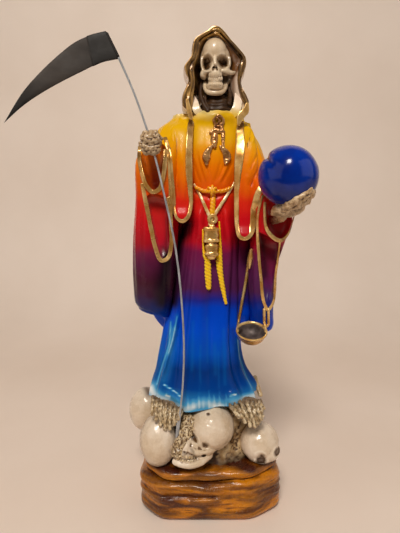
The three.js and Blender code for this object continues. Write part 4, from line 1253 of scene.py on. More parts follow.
def make_hood():
    count = 240
    pairs = np.array(HOOD_EDGES, float).reshape(-1, 4)
    loop = curve(np.vstack((pairs, pairs[:1])), count + 1)
    loop[-1] = loop[0]
    below = ease(loop[:, 1], 108, 116)
    outer = np.array([on_plane(x, y, -13 + 5 * b) for (x, y), b in zip(loop[:, :2], below)])
    inner = np.array([on_plane(x, y, -15 + 7 * b) for (x, y), b in zip(loop[:, 2:], below)])
    middle = grid(HOOD_MIDDLE[0], 0, HOOD_MIDDLE[1])

    def drawn_in(ring, rows, steps, lining=0.0):
        depths = np.linspace(rows[0][0], rows[-1][0], steps)
        for depth, (wide, high) in zip(depths, smooth_rows(rows, depths)):
            moved = middle + (ring - middle) * (wide, 0, high)
            moved[:, 1] = ring[:, 1] + (depth - rows[0][0]) * MM
            pull = ease(depth, rows[0][0], rows[0][0] + 3.6) * lining * MM
            moved[:, 0] -= pull * ease((ring - middle)[:, 0], 5 * MM, 13 * MM)
            yield moved
    back = list(drawn_in(outer, HOOD_BACK, 50))[::-1]
    inside = list(drawn_in(inner, HOOD_INSIDE, 54, 3.4))
    rim = []
    for t in np.linspace(0, 1, 15)[1:-1]:
        crest = -(1.9 * math.sin(math.pi * t) ** 0.5 + 0.5 * math.cos(4 * math.pi * t)) * MM
        row = outer + (inner - outer) * t
        row[:, 1] += crest
        rim.append(row)
    rows = np.array(back + rim + inside)
    rows[:, -1] = rows[:, 0]
    piece = wrap("hood", closed(rows, 6))
    points = places(piece)
    band = points[:, 1] < -13.4 * MM
    cloth = rough(points, (8, 12, 14), 2, 2.0) * 0.55
    place(piece, points + normals(piece) * (cloth * MM * np.where(band, 0.4, 1))[:, None])
    stroke(piece, [[(187, 100), (190, 84), (189, 70), (194, 58)],
                   [(238, 52), (243, 62), (240, 78), (243, 92)], [(198, 42), (206, 36), (214, 31)],
                   [(219, 32), (228, 42), (238, 54)]], 1.1, -0.9, 0.1)
    ring = (inner - middle)[:-1]
    turn = np.arctan2(ring[:, 2], ring[:, 0])
    order = np.argsort(turn)
    for face in piece.data.polygons:
        away = np.array(face.center) - middle
        edge = np.interp(math.atan2(away[2], away[0]), turn[order], np.hypot(ring[:, 0], ring[:, 2])[order],
                         period=2 * math.pi)
        is_out = math.hypot(away[0], away[2]) > edge - 0.1 * MM
        on_rim = is_out and face.center.y < -13.1 * MM and face.center.z > 236 * MM
        gilt_lining = face.normal.dot(away) < 0 and away[0] < -5 * MM and face.center.z > 246 * MM
        face.material_index = 1 if on_rim or gilt_lining else 0
    # Painted shade inside the hood: around the face, between the face and the lining on the right, and on the
    # lining's upper right.
    paint_stain_and_shade(piece, [[(200, 96), (199.4, 78), (201.6, 56), (208, 42), (216, 38), (224, 43),
                   (230, 54)]], 2.0, 0.5)
    paint_stain_and_shade(piece, [[(228, 50), (230.6, 58), (232, 66), (233, 80), (233, 98)]], 2.6, 0.85)
    paint_stain_and_shade(piece, [[(231, 46), (235.4, 54), (237.4, 61), (236.6, 67)]], 4.4, 1.0)
    paint_stain_and_shade(piece, [[(236, 66), (235.6, 74)]], 3.0, 0.6)
    finish(piece, "robe_paint", "hood", "rim", reach=1.6)

    drop = upright("hood_back", HOOD_DROP, 130, 50)
    roughen(drop, (7, 12, 20), 2, 6.0, 0.7)
    finish(drop, "robe_paint", "hood", reach=1.6)


# The head.
def make_head():
    head = melt(join("head", [
        lump(215.2, 60.6, -8.6, (9.9, 8.8, 10.4)), lump(214.6, 54.6, -9.8, (7.9, 9.9, 9.0)),
        lump(214.8, 56.6, -12.4, (7.6, 6.6, 7.0)), lump(215.2, 69.4, -14.4, (6.4, 3.6, 4.6)),
        lump(209.4, 52.6, -15.4, (2.9, 1.9, 3.6)), lump(220.4, 53.2, -15.4, (2.9, 1.9, 3.6)),
        lump(215.2, 75.4, -16.2, (4.3, 5.2, 4.0)), lump(215.2, 81.4, -16.6, (4.4, 3.2, 3.5)),
        lump(215, 87, -16.6, (5.2, 4.6, 3.9)), lump(203.9, 74.8, -13.6, (2.5, 3.1, 3.0)),
        lump(225, 71, -15.6, (3.2, 2.5, 2.8)),
        rod([(210, 70.4, -17.6), (206.6, 71.6, -17), (203.8, 74.4, -14.6)], 3.0),
        rod([(223, 71, -17), (229, 72.6, -15.4), (234.6, 73.2, -12), (238, 73.4, -8)],
            np.linspace(3.4, 2.0, 40)),
        rod([(202.2, 58, -14), (202, 64, -14.6), (203.4, 70, -15)], 2.2),
        rod([(229, 58, -13.6), (229.4, 64, -14), (227.6, 69, -15)], 2.2),
        rod([(214.8, 58, -18.6), (215.2, 64, -19.8)], 2.4),
        rod([(205.4, 83.6, -10), (205.8, 88.6, -14.2), (209, 92.2, -17.2), (215, 93, -18.2),
             (221, 92.2, -17.2), (224.4, 88.6, -14.2), (225.6, 84.6, -10)], 3.3),
        rod([(225.8, 86, -12), (228.4, 82.4, -10), (232, 78.6, -8)], 1.5),
    ]), 0.00035, 5)
    # Sunk sockets and nose, with painted shade in them over their brown wash.
    press(head, [(207.3, 62.6, 4.6, 7.6, 0.12, 3.2), (222.4, 62, 5.4, 6.6, -0.25, 3.2)], edge=0.62, shade=0.5)
    press(head, [(207, 66.4, 3.6, 4.0, 0.2, 1.2), (222.6, 64.4, 4.2, 4.0, -0.2, 1.2)], edge=0.8, shade=0.55)
    press(head, [(213.4, 68.6, 1.5, 2.6, 0.5, 1.6), (216.8, 68.8, 1.3, 2.2, -0.5, 1.6)], edge=0.5, shade=0.85)
    stroke(head, [[(209, 81.6), (215, 82.2), (222, 81.4)]], 0.7, -0.4, 0.1)
    stroke(head, [[(209.6, 89.6), (215, 90.4), (221.6, 89.6)]], 0.8, -0.35, 0.1)
    # Darker along the sides of the cranium and at the jaw's corner; painted shade under the cheekbones,
    # beside the upper jaw and between the rows of teeth.
    paint_stain_and_shade(head, [[(201, 50), (200, 60), (201, 70)], [(229, 50), (230, 62), (229.4, 68)],
                 [(224, 80), (225, 86)]], 1.6, 0.34)
    paint_stain_and_shade(head, [[(205, 72), (208, 72.4), (211, 71.6)], [(220, 70.8), (224, 73.6), (229, 75)],
                 [(208.6, 81.4), (222.6, 81.4)]], 1.1, 0.4)
    paint_stain_and_shade(head, [[(202, 78), (205, 79.6), (208, 78.6)], [(208.2, 74), (208, 80)],
                 [(223, 76), (224, 80)]], 1.6, 0.55)
    teeth = teeth_on("teeth_head", surface(head), [
        ([(209.2, 78.6), (215.2, 79.4), (221.8, 78.4)], 8, (0.5, 0.4, 0.95)),
        ([(209.6, 75), (215.2, 75.6), (221, 74.8)], 7, (0.56, 0.25, 1.1)),
        ([(209.4, 84.2), (215.2, 84.8), (222, 84)], 8, (0.48, 0.35, 0.8)),
    ])
    finish(teeth, "bone_paint", "head", reach=0.9)
    finish(head, "bone_paint", "head", reach=1.4)

    def rings(angle, height):
        wander = 0.9 * np.sin(3 * angle) + 0.5 * np.sin(7 * angle + 1)
        return 0.2 * np.cos(height * 2 * np.pi / 3.1 + wander) + 0.25 * np.cos(11 * angle + 1)
    neck = upright("neck", [(242.4, 0, 7, -13, 4), (243.4, -3.4, 9.8, -16, 4), (246.2, -6.8, 13, -18, 4),
                            (250.2, -7.6, 14.2, -18.2, 4), (255.4, -5, 13, -15, 4), (264, -3, 9, -8, 4)],
                   100, 70, fold=rings)
    folds = [
        rod([(202.6, 82, -9), (200.6, 92, -12), (203.6, 104, -16), (208, 111, -18)], 2.6, 2.6),
        rod([(206, 92, -12), (205.4, 101, -15), (209, 109, -18)], 2.0),
        rod([(228, 84, -8), (230, 94, -11), (229, 104, -16)], 2.6),
    ]
    neck = join("neck", [neck] + folds)
    collar = []
    for route, wide in (
        ([(191, 94, -11), (194.6, 103, -14), (197, 110, -15.6), (202, 116, -14)], (2.6, 4.6, 5.0, 4.6)),
        ([(228, 118, -14), (235.4, 111, -16), (237.8, 103, -15), (237.6, 92, -12)], (5.0, 5.6, 5.0, 3.4)),
    ):
        path = curve([on_plane(*p) for p in route], 40)
        collar.append(bar("collar", path, spread(wide, 40), 0.8, normal=np.tile((0, -0.95, 0.1), (40, 1)),
                          sides=18, roundness=4))
    finish(join("collar", collar), "robe_paint", "hood", reach=1.6)
    # The whole neck a little darker: painted shade in the neck opening, over the neck's dark brown wash.
    paint(neck, "shade", np.full(len(neck.data.vertices), 0.3))
    finish(neck, "bone_paint", "neck", reach=0.9)


# Gold edges, drawn in the view: name, places, width and thickness in millimetres.
GOLD_EDGES = [
    ("edge_cuff_left", [
        (140, 147), (139.6, 158), (142, 172), (146.4, 185.6), (153, 192), (159.6, 188.6), (162.4, 180),
        (164.6, 165), (165.4, 150),
    ], 2.5, 1.5),
    ("edge_mouth_left", [
        (142.6, 184), (145, 197), (148, 213), (151.8, 232), (155.6, 248), (161.6, 260.6), (167.6, 258),
        (170.9, 246), (170.9, 228), (170.2, 213), (168.6, 198),
    ], 2.5, 1.5),
    ("edge_fold_left", [(165, 138), (168.4, 150), (169.4, 172), (170.4, 196), (170.8, 214)], 2.4, 1.2),
    ("edge_fold_inner", [(170.2, 148), (171.8, 172), (172.6, 196), (173.6, 214)], 0.9, 0.9),
    ("edge_panel_left", [
        (190.6, 103), (191.6, 114), (189.8, 132), (188.9, 152), (188.9, 171), (190.2, 192), (190.4, 206),
        (187.6, 217), (182.6, 221), (177.4, 218.4), (175, 212), (173.9, 196), (172, 172), (170.4, 154),
        (166.6, 141),
    ], (2.8, 4.0, 4.2, 4.2, 4.1, 3.0, 2.4, 2.3, 2.3, 2.0, 1.7, 1.5, 1.4, 1.3, 1.0), 1.3),
    ("edge_panel_right", [
        (243, 108), (241, 120), (240, 132), (240.4, 146), (238.8, 164), (237.4, 186), (236.9, 208),
        (237.6, 228), (240, 236.6), (245, 238.6), (250.4, 235), (252.6, 226), (254.6, 212), (258, 196),
        (260.6, 184),
    ], (3.0, 3.6, 5.0, 5.8, 5.2, 4.0, 3.2, 2.6, 2.4, 2.3, 2.6, 4.0, 5.4, 5.0, 1.2), 1.4),
    ("edge_cuff_right", [
        (265, 203), (265, 214), (266.6, 228), (272, 236.4), (280, 240.4), (286, 236), (290.6, 227),
        (294.2, 216),
    ], (1.5, 1.7, 2.0, 2.4, 2.4, 1.5, 0.9, 0.6), 1.6),
    ("edge_mouth_right", [
        (262.6, 196), (258.6, 212), (257.8, 232), (258.8, 252), (261, 277), (264.4, 304), (267.8, 309.6),
        (272, 304), (275.8, 272), (279.6, 242),
    ], (1.3, 1.6, 1.8, 1.8, 1.8, 2.0, 2.2, 1.9, 1.6, 1.2), 1.4),
]
ROBE_PIECES = ("tunic", "mantle", "sleeve_left", "sleeve_right", "panel_left", "panel_right")


def robe_surface():
    """The whole robe as one surface for trims to lie on."""
    missing = [name for name in ROBE_PIECES if name not in PIECES]
    if missing:
        raise RuntimeError("The trims lie on these, which come first: " + ", ".join(missing))
    return surface(*(UNCUT.get(name, PIECES[name]) for name in ROBE_PIECES))


def ribbon(name, route, wide, tree, thick=1.2, proud=0.45, step=0.55, lips=0.4, roundness=2.4, soften=6):
    """A flat gilt edge laid on the cloth along a line drawn in the view."""
    drawn = np.linalg.norm(np.diff(np.array(route, float), axis=0), axis=1)
    count = max(int(drawn.sum() * 0.6 / step), 12)
    path, out = lay(route, tree, proud, count, soften)
    if np.ndim(wide):
        share = np.concatenate(([0], np.cumsum(drawn))) / drawn.sum()
        wide = np.interp(np.linspace(0, 1, count), share, wide)
    return bar(name, path, wide, thick, normal=out, sides=18, roundness=roundness, lips=lips)


def make_gold_edges():
    tree = robe_surface()
    for name, route, wide, thick in GOLD_EDGES:
        piece = ribbon(name, route, wide, tree, thick, soften=10)
        points = places(piece)
        roughen(piece, 6, 2, 3.0, 0.12)
        # Painted shade on both sides of each edge, darker where its skin turns away from the camera.
        facing = -(normals(piece) * unit(points - CAMERA_PLACE)).sum(1)
        paint(piece, "shade", (1 - ease(facing, 0.3, 0.8)) * 0.7)
        finish(piece, "gold_paint", "gold", reach=0.9)
    collar = []
    for route, wide in (
        ([(247, 104), (246, 110), (241, 116), (238.6, 124)], (2.0, 4.4, 4.6, 2.0)),
        ([(187, 100), (188.6, 108), (191, 118)], (1.8, 3.0, 2.4)),
    ):
        path = np.array([on_plane(x, y, -21) for x, y in curve(route, 30)])
        collar.append(bar("turn", path, spread(wide, 30), 2.2, normal=np.tile((0.25, -1, 0.2), (30, 1)),
                          sides=18, roundness=2.6, lips=0.4))
    finish(join("hood_turns", collar), "gold_paint", "gold", reach=0.9)


ROPES = [
    ("belt_rope", [(196.6, 187.6), (204, 190.8), (212, 190.8), (222, 190.8), (229, 188.4)], 2.4),
    ("belt_end", [(212.8, 192), (212.8, 202), (212.2, 213)], 3.2),
    ("rope_left", [(202.6, 230), (203.2, 244), (204.6, 256), (206.8, 260), (207.8, 274), (208.4, 288)],
     (1.0, 1.0, 1.6, 3.9, 3.9, 3.2)),
    ("rope_right", [(219, 222), (219.6, 236), (219.8, 252), (219.2, 262), (221, 278),
                    (223.6, 292), (225.8, 303)],
     (1.0, 1.1, 2.4, 4.0, 3.2, 2.8, 1.8)),
]


# Ropes, hourglass and pendant.
def make_ropes(sizes):
    tree = robe_surface()
    deep, twist = in_mm(sizes.rope_depth), in_mm(sizes.rope_twist)
    for name, route, wide in ROPES:
        count = int(np.linalg.norm(np.diff(np.array(route), axis=0), axis=1).sum() * 1.9)
        path, out = lay(route, tree, 0.7, count, 6)
        if np.ndim(wide):
            wide = spread(wide, count)
        piece = bar(name, path, wide, np.minimum(wide, deep), normal=out, sides=28, strands=2, pitch=twist)
        finish(piece, "rope_paint", "rope", reach=0.7)
    knot = []
    centre, out = lay([(210, 190), (214, 190)], tree, 1.6, 3, 0)
    for turn in (0.5, -0.6, 1.5):
        angle = np.linspace(0.3, 5.9, 40)
        side = np.array((math.cos(turn), 0, math.sin(turn)))
        flat, tall = np.cos(angle) * 2.5 * MM, np.sin(angle) * 1.3 * MM
        loop = centre[1] + np.outer(flat, side) + np.outer(tall, out[1])
        knot.append(bar("turn", loop, 1.7, sides=14, strands=2, pitch=3.0))
    knot.append(blob("middle", centre[1], np.array((2.4, 1.5, 2.0)) * MM))
    finish(join("belt_knot", knot), "rope_paint", "rope", reach=0.7)


def make_hourglass():
    tree = robe_surface()
    cords = []
    for route in ([(194.4, 184.6), (199.6, 194), (204.6, 205), (209.6, 217), (210, 226)],
                  [(234.2, 182.6), (228, 193.6), (220.6, 205), (213.6, 216), (210.6, 220)]):
        path, out = lay(route, tree, 0.9, 60, 6)
        cords.append(bar("cord", path, np.linspace(1.5, 2.3, 60), 1.6, normal=out, sides=14, lips=0.3))
    centre, out = lay([(210, 219), (212.6, 219), (215, 219)], tree, 1.6, 3, 0)
    rings = []
    for turn, radius in ((0.0, 2.5), (0.5, 1.9)):
        angle = np.linspace(0, 2 * np.pi, 60)
        side = np.array((math.cos(turn), 0, math.sin(turn)))
        flat, tall = np.cos(angle) * radius * MM, np.sin(angle) * radius * MM
        loop = centre[1] + np.outer(flat, side) + np.outer(tall, (-math.sin(turn), -0.2, math.cos(turn)))
        rings.append(bar("ring", loop[:-1], 1.5, sides=14))
    finish(join("waist_cords", cords), "gold_paint", "pale_gold", reach=0.6)
    finish(join("waist_ring", rings), "gold_paint", "gold", reach=0.6)

    path, out = lay([(211, 226.5), (211, 256.5)], tree, 3.2, 60, 40)
    share = np.linspace(0, 1, 60)
    wide = smooth_rows([(0, 4.4), (0.03, 8.6), (0.07, 9.8), (0.11, 9.8), (0.15, 8.9), (0.3, 9.0), (0.42, 8.9),
                        (0.46, 9.8), (0.51, 9.4), (0.55, 6.6), (0.59, 6.8), (0.63, 8.2), (0.7, 8.0),
                        (0.84, 7.4), (0.88, 8.5), (0.94, 8.5), (1, 5.6)], share)[:, 0]
    glass = bar("hourglass", path, wide, wide * 0.75, normal=np.tile((0, -1.0, 0), (60, 1)),
                sides=64, roundness=2.8)
    roughen(glass, 3, 2, 9.0, 0.25)
    finish(glass, "gold_paint", "gold", reach=0.9)


def make_pendant():
    tree = robe_surface()
    parts = []
    for route, wide, thick in (
        ([(214, 119.6), (217.4, 115.6), (222, 117.6), (223, 123), (219.6, 126.6), (215.4, 124.6),
          (213.8, 120.6)], 1.6, 1.6),
        ([(216.6, 118), (219.6, 120.6), (217.6, 124), (214.6, 127), (214.6, 132)], 1.3, 1.3),
        ([(220.6, 124), (222.6, 133), (223, 146), (222.4, 151)], (2.2, 2.6, 2.0, 1.6), 1.6),
        ([(210.8, 133), (216, 131), (223.4, 132.6)], (2.4, 3.0, 2.4), 2.4),
        ([(214.6, 134), (214.2, 140), (214.6, 146.4)], (4.2, 4.6, 2.4), 2.8),
        ([(212.4, 146), (208.4, 151), (206.4, 157), (206.8, 163.6)], (1.8, 3.8, 5.0, 2.2), 2.2),
        ([(220.6, 147), (224.6, 151), (226.8, 157), (226, 163.6)], (1.8, 3.8, 5.4, 2.4), 2.2),
    ):
        path, out = lay(route, tree, 0.7, 40, 6)
        if np.ndim(wide):
            wide = spread(wide, 40)
        parts.append(bar("leaf", path, wide, thick, normal=out, sides=20, roundness=2.2))
    piece = join("pendant", parts)
    roughen(piece, 1.6, 3, 9.0, 0.3)
    finish(piece, "gold_paint", "copper", reach=0.9)


# Hands and ball. The open hand's fingers: places in the view with their depth, and width in millimetres.
FINGERS = [
    ([(281, 206, -47), (293, 201, -55), (302, 195.6, -57), (309.6, 189.6, -55)], 3.6),
    ([(278, 208.6, -47), (291, 205, -53), (303, 199, -55.4), (311.6, 191.4, -53)], 3.6),
    ([(276, 211, -45), (289, 209.4, -50), (302, 203.6, -52), (312, 194.6, -50)], 3.6),
    ([(274, 213, -42), (286, 213, -46), (298, 208.6, -48), (308, 201, -47)], 3.4),
    ([(305, 201, -41), (310, 196, -39), (313, 191.6, -38)], 3.2),
]


def make_hands():
    chance = np.random.default_rng(11)
    parts = [blob("palm", on_plane(151.2, 142.4, -37.4), np.array((5.9, 5.4, 6.9)) * MM)]
    for down in np.arange(132.6, 153, 3.3):
        reach = 9.6 * math.sqrt(max(1 - ((down - 142.6) / 12.6) ** 2, 0.1))
        for across in np.arange(-reach, reach + 0.1, 3.6) + chance.uniform(-0.8, 0.8):
            out = math.sqrt(max(1 - (across / 11.4) ** 2 - ((down - 142.6) / 15) ** 2, 0.02))
            spot = (151.4 + across, down + chance.uniform(-0.9, 0.9), -38 - 4.9 * out)
            size = chance.uniform(1.2, 1.7)
            half = (size * 1.3, size, size * chance.uniform(0.7, 1.1))
            parts.append(lump(*spot, half, (0, chance.uniform(-0.6, 0.6), 0)))
    wrist = [on_plane(151, 147, -37), on_plane(151, 148, -26), on_plane(151, 148, -14)]
    parts.append(bar("wrist", curve(wrist, 12), 6.4))
    fist = melt(join("hand_left", parts), 0.00032, 3)
    roughen(fist, 1.5, 3, 7.0, 0.3)
    stroke(fist, [[(144, 137), (151, 139), (159, 136.6)],
                  [(143, 143), (151, 146), (160, 143)]], 0.8, -0.5, 0.2)
    # Painted shade between the fingers and down the fist's right side; the whole fist is also a little
    # darker.
    paint_stain_and_shade(fist, [[(143, 141), (152, 143), (160, 140)], [(144, 150), (151, 154), (157, 152)],
                 [(160, 134), (161.6, 150)]], 2.2, 0.4)
    paint(fist, "shade", np.full(len(fist.data.vertices), 0.2), add=True)
    finish(fist, "bone_paint", "hand", reach=1.1)

    parts = [
        bar("finger", curve([on_plane(*p) for p in route], 40), knotty(wide, 40), sides=14)
        for route, wide in FINGERS
    ] + [
        blob("palm", on_plane(288, 209, -44), np.array((9.4, 6.6, 4.6)) * MM, (0, -0.15, 0)),
        blob("palm", on_plane(301, 201, -46), np.array((6.6, 6.4, 3.8)) * MM, (0, -0.7, 0)),
        bar("wrist", [on_plane(282, 211, -42), grid(41, -30, 182), grid(38, -22, 181)], 6.0),
    ]
    hand = melt(join("hand_right", parts), 0.00043, 2)
    roughen(hand, 1.6, 3, 11.0, 0.35)
    # Painted shade along the underside of the fingers.
    paint_stain_and_shade(hand, [[(274, 215), (288, 216), (300, 210)], [(272, 208), (281, 206)]], 2.2, 0.4)
    finish(hand, "bone_paint", "hand", reach=1.1)


def make_ball(sizes):
    half = in_mm(sizes.ball_diameter) / 2
    centre = grid(43.6, -40.8, 189) + unit(np.array((-0.16, -0.34, 0.93))) * (half - 0.8) * MM
    radius = half * MM
    piece = blob("ball", centre, (radius,) * 3, segments=104, rings=72)
    points = places(piece)
    across, down, _ = seen(points)
    far, share = near_line(across, down, [(263, 153), (269, 160.4), (273, 167)])
    crease = np.exp(-(far / 2.8) ** 2) * (1 - share) * 1.2 + np.exp(-(far / 5.0) ** 2) * 0.6
    points = points - unit(points - centre) * (crease * MM)[:, None]
    points = points + unit(points - centre) * (rough(points, 14, 2, 1.0) * 0.25 * MM)[:, None]
    place(piece, points)
    finish(piece, "ball_paint", "ball")


# The scales. The pan's wall from the middle of its underside over the rim and in, at its drawn radius.
PAN_RADIUS = 9.7
PAN_WALL = [
    (0.05, -7.6), (4.4, -7.0), (7.6, -4.4), (9.0, -1.1), (PAN_RADIUS, 0.2), (9.4, 1.0), (8.9, 0.9),
    (8.4, 0.0), (7.2, -3.0), (4.2, -5.4), (0.05, -6.2),
]


def make_scales(sizes):
    grown = in_mm(sizes.pan_radius) / PAN_RADIUS
    tilt = 0.4
    up = np.array((0, -math.sin(tilt), math.cos(tilt)))
    toward = np.array((0, math.cos(tilt), math.sin(tilt)))
    centre = grid(24.8, -16.4, 113) + np.array((0, -9.0, 0)) * MM
    profile = curve(PAN_WALL, 60) * grown
    angle = np.linspace(0, 2 * np.pi, 97)
    rows = np.array([
        centre + (np.outer(np.cos(angle) * out, (1, 0, 0)) + np.outer(np.sin(angle) * out, toward)
                  + up * height) * MM
        for out, height in profile
    ])
    rows[:, -1] = rows[:, 0]
    pan = wrap("scale_pan", closed(rows, 1))
    for face in pan.data.polygons:
        local = (np.array(face.center) - centre) / MM / grown
        normal = np.array(face.normal)
        flat = math.hypot(local[0], local @ toward)
        inward = -local[0] * normal[0] - (local @ toward) * (normal @ toward)
        is_bowl = flat < 8.3 and local @ up > -6.6 and (normal @ up > 0.3 or inward > 0)
        face.material_index = 1 if is_bowl else 0
    finish(pan, "gold_paint", "gold", "pan", reach=1.2)

    tree = robe_surface()
    chains = []

    def rim(turn):
        return centre + (np.array((1, 0, 0)) * math.cos(turn) + toward * math.sin(turn)) * 8.7 * grown * MM
    for route, end, wide in (
        ([(251.6, 250), (248.6, 262), (245, 284), (241.4, 304), (238.6, 322)], rim(math.pi), 1.9),
        ([(264, 309), (264.2, 322)], rim(-0.1), 1.7),
        ([(268, 309), (268, 324)], rim(0.4), 1.7),
    ):
        path, out = lay(route, tree, 1.2, 30, 10)
        path = curve(np.vstack((path[::4], end[None])), 90)
        chains.append(bar("chain", path, wide, sides=14, strands=2, pitch=2.4))
    path, out = lay([(252, 250), (251.4, 258), (250.4, 268)], tree, 1.2, 24, 6)
    chains.append(bar("drop", path, np.interp(np.linspace(0, 1, 24), (0, 0.4, 1), (1.4, 3.0, 1.4)), 1.6,
                      normal=out, sides=16))
    finish(join("scale_chains", chains), "gold_paint", "gold", reach=0.6)


# The scythe.
SHAFT_ROUTE = [
    (-20.6, -30.5, 46), (-20, -31, 56), (-18.2, -32, 69), (-16.2, -34, 98), (-17, -38, 130),
    (-20.6, -41.5, 165), (-26.6, -42, 194), (-31.2, -40.6, 213), (-35.8, -40.4, 229), (-43.2, -42.6, 250),
    (-50, -45, 265.5),
]
# The blade's two edges, as shares of its length and of its width at the root.
BLADE_UPPER = [
    (0, 0.98), (-0.12, 1.05), (-0.25, 1.03), (-0.39, 0.87), (-0.58, 0.57), (-0.78, 0.16), (-1, -0.5),
]
BLADE_LOWER = [(0, 0), (-0.12, 0.1), (-0.3, 0.07), (-0.62, -0.06), (-0.82, -0.23), (-1, -0.5)]


def make_scythe(sizes):
    points = np.array([grid(*p) for p in SHAFT_ROUTE])
    top = grid(-57, -45, 279.6)
    up = unit(top - points[-1])
    points = np.vstack((points, points[-1] + up * 13.8 * MM))
    path = curve(points, 260)
    foot = 1 - ease(np.linspace(0, 1, 260), 0.055, 0.085)
    wide = in_mm(sizes.wire_width) + in_mm(sizes.foot_widening) * foot
    thick = in_mm(sizes.wire_width) + in_mm(sizes.foot_thickening) * foot
    wire = bar("wire", path, wide, thick, normal=np.tile((0.0, -1.0, 0.05), (260, 1)), sides=16)
    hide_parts("scythe_shaft")
    finish(wire, "wire", "wire", reach=0.8)

    span = np.array((in_mm(sizes.blade_length), in_mm(sizes.blade_width)))
    across = np.array((1, 0.16, 0))
    normal = unit(np.cross(across, up))
    side = np.cross(up, normal)
    upper = curve(np.array(BLADE_UPPER) * span, 160)
    lower = curve(np.array(BLADE_LOWER) * span, 160)
    angle = np.linspace(0, 2 * np.pi, 49)
    rows = []
    for k, (a, b) in enumerate(zip(upper, lower)):
        middle, half = (a + b) / 2, (a - b) / 2
        thick = in_mm(sizes.blade_thickness) * (0.25 + 0.75 * min(1, (1 - k / 159) * 3))
        flat = middle + np.outer(squared(np.cos(angle), 3.5), half)
        deep = squared(np.sin(angle), 3.5) * thick * (0.35 + 0.65 * np.cos(angle / 2) ** 2)
        rows.append(points[-2] + (np.outer(flat[:, 0], side) + np.outer(flat[:, 1], up)
                                  + np.outer(deep, normal)) * MM)
    rows = np.array(rows)
    rows[:, -1] = rows[:, 0]
    blade = wrap("blade", closed(rows, 3))
    ends = [points[-2] + up * 1.2 * MM, points[-2] + up * 14.2 * MM]
    socket = bar("socket", curve(ends, 30), 1.25, sides=24)
    piece = join("blade", [blade, socket])
    across, down, _ = seen(places(piece))
    root_part = ease(across - 86.7 - (down - 37) * 0.217, -0.4, 0.4)
    place(piece, places(piece) + normals(piece) * (root_part * 0.25 * MM)[:, None])
    paint(piece, "shade", root_part * 0.75)
    paint_stain_and_shade(piece, [[(4, 125), (24, 104)]], 10, 0.9)
    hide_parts("scythe_blade")
    finish(piece, "blade", "blade", reach=1.0)


# The stage. Its lights: name, place, what it points at, size and colour.
LIGHTS = [
    ("light_main", (-0.12, -0.8, 1.0), (0, 0, 0.14), 0.3, (1, 0.93, 0.85)),
    ("light_fill", (-1.1, -0.7, 0.5), (0, 0, 0.15), 1.2, (1, 0.95, 0.9)),
    ("light_side", (1.1, -0.5, 0.6), (0, 0, 0.15), 1.2, (1, 0.95, 0.9)),
]
FLOOR_PROFILE = [(-0.3, 0), (-0.1, 0), (0.16, 0), (0.36, 0.04), (0.46, 0.2), (0.48, 0.8), (0.48, 1.4)]


def make_stage(studio):
    scene = bpy.context.scene
    data = bpy.data.cameras.new("camera")
    data.lens = CAMERA_LENS
    data.sensor_width = SENSOR
    data.clip_start = 0.01
    camera = bpy.data.objects.new("camera", data)
    camera.location = CAMERA_PLACE
    camera.rotation_euler = (CAMERA_TILT, 0, 0)
    scene.collection.objects.link(camera)
    scene.camera = camera

    profile = curve(FLOOR_PROFILE, 60)
    deselect()
    bpy.ops.mesh.primitive_grid_add(x_subdivisions=4, y_subdivisions=59, size=2)
    floor = bpy.context.object
    floor.name = "floor"
    found = np.round(places(floor), 5)
    rows = np.argsort(np.argsort(np.unique(found[:, 1])))[np.unique(found[:, 1], return_inverse=True)[1]]
    place(floor, np.column_stack((found[:, 0] * 1.6, profile[rows, 0], profile[rows, 1])))
    pick(floor)
    bpy.ops.object.shade_smooth()
    material, tree, shader = start_finish("pale_floor")
    pale = clouds(tree, tuple(studio.floor_deep), tuple(studio.floor_bright), 6.0)
    tree.links.new(pale, shader.inputs["Base Color"])
    shader.inputs["Roughness"].default_value = 0.55
    floor.data.materials.append(material)

    for name, spot, aim, size, color in LIGHTS:
        lamp = bpy.data.lights.new(name, "AREA")
        lamp.size = size
        lamp.energy = studio.main_power if name == "light_main" else studio.fill_power
        lamp.color = color
        light = bpy.data.objects.new(name, lamp)
        light.location = spot
        light.rotation_euler = (Vector(aim) - Vector(spot)).to_track_quat("-Z", "Y").to_euler()
        scene.collection.objects.link(light)
    world = bpy.data.worlds.new("studio")
    world.use_nodes = True
    world.node_tree.nodes["Background"].inputs["Color"].default_value = (0.86, 0.8, 0.74, 1)
    world.node_tree.nodes["Background"].inputs["Strength"].default_value = 0.07
    scene.world = world
    scene.view_settings.view_transform = "Standard"


# The settings that a user would change.
def length(name, description, value):
    """A length setting with its default in millimetres."""
    return FloatProperty(name=name, description=description, default=value * MM, min=0, unit="LENGTH",
                         subtype="DISTANCE")


def paint_color(name, description, *screen):
    """A paint setting with its default as a screen colour."""
    return FloatVectorProperty(name=name, description=description, default=tone(*screen), min=0, max=1,
                               size=4, subtype="COLOR")


def light_power(name, description, value):
    """A light's power setting in watts."""
    return FloatProperty(name=name, description=description, default=value, min=0, unit="POWER")


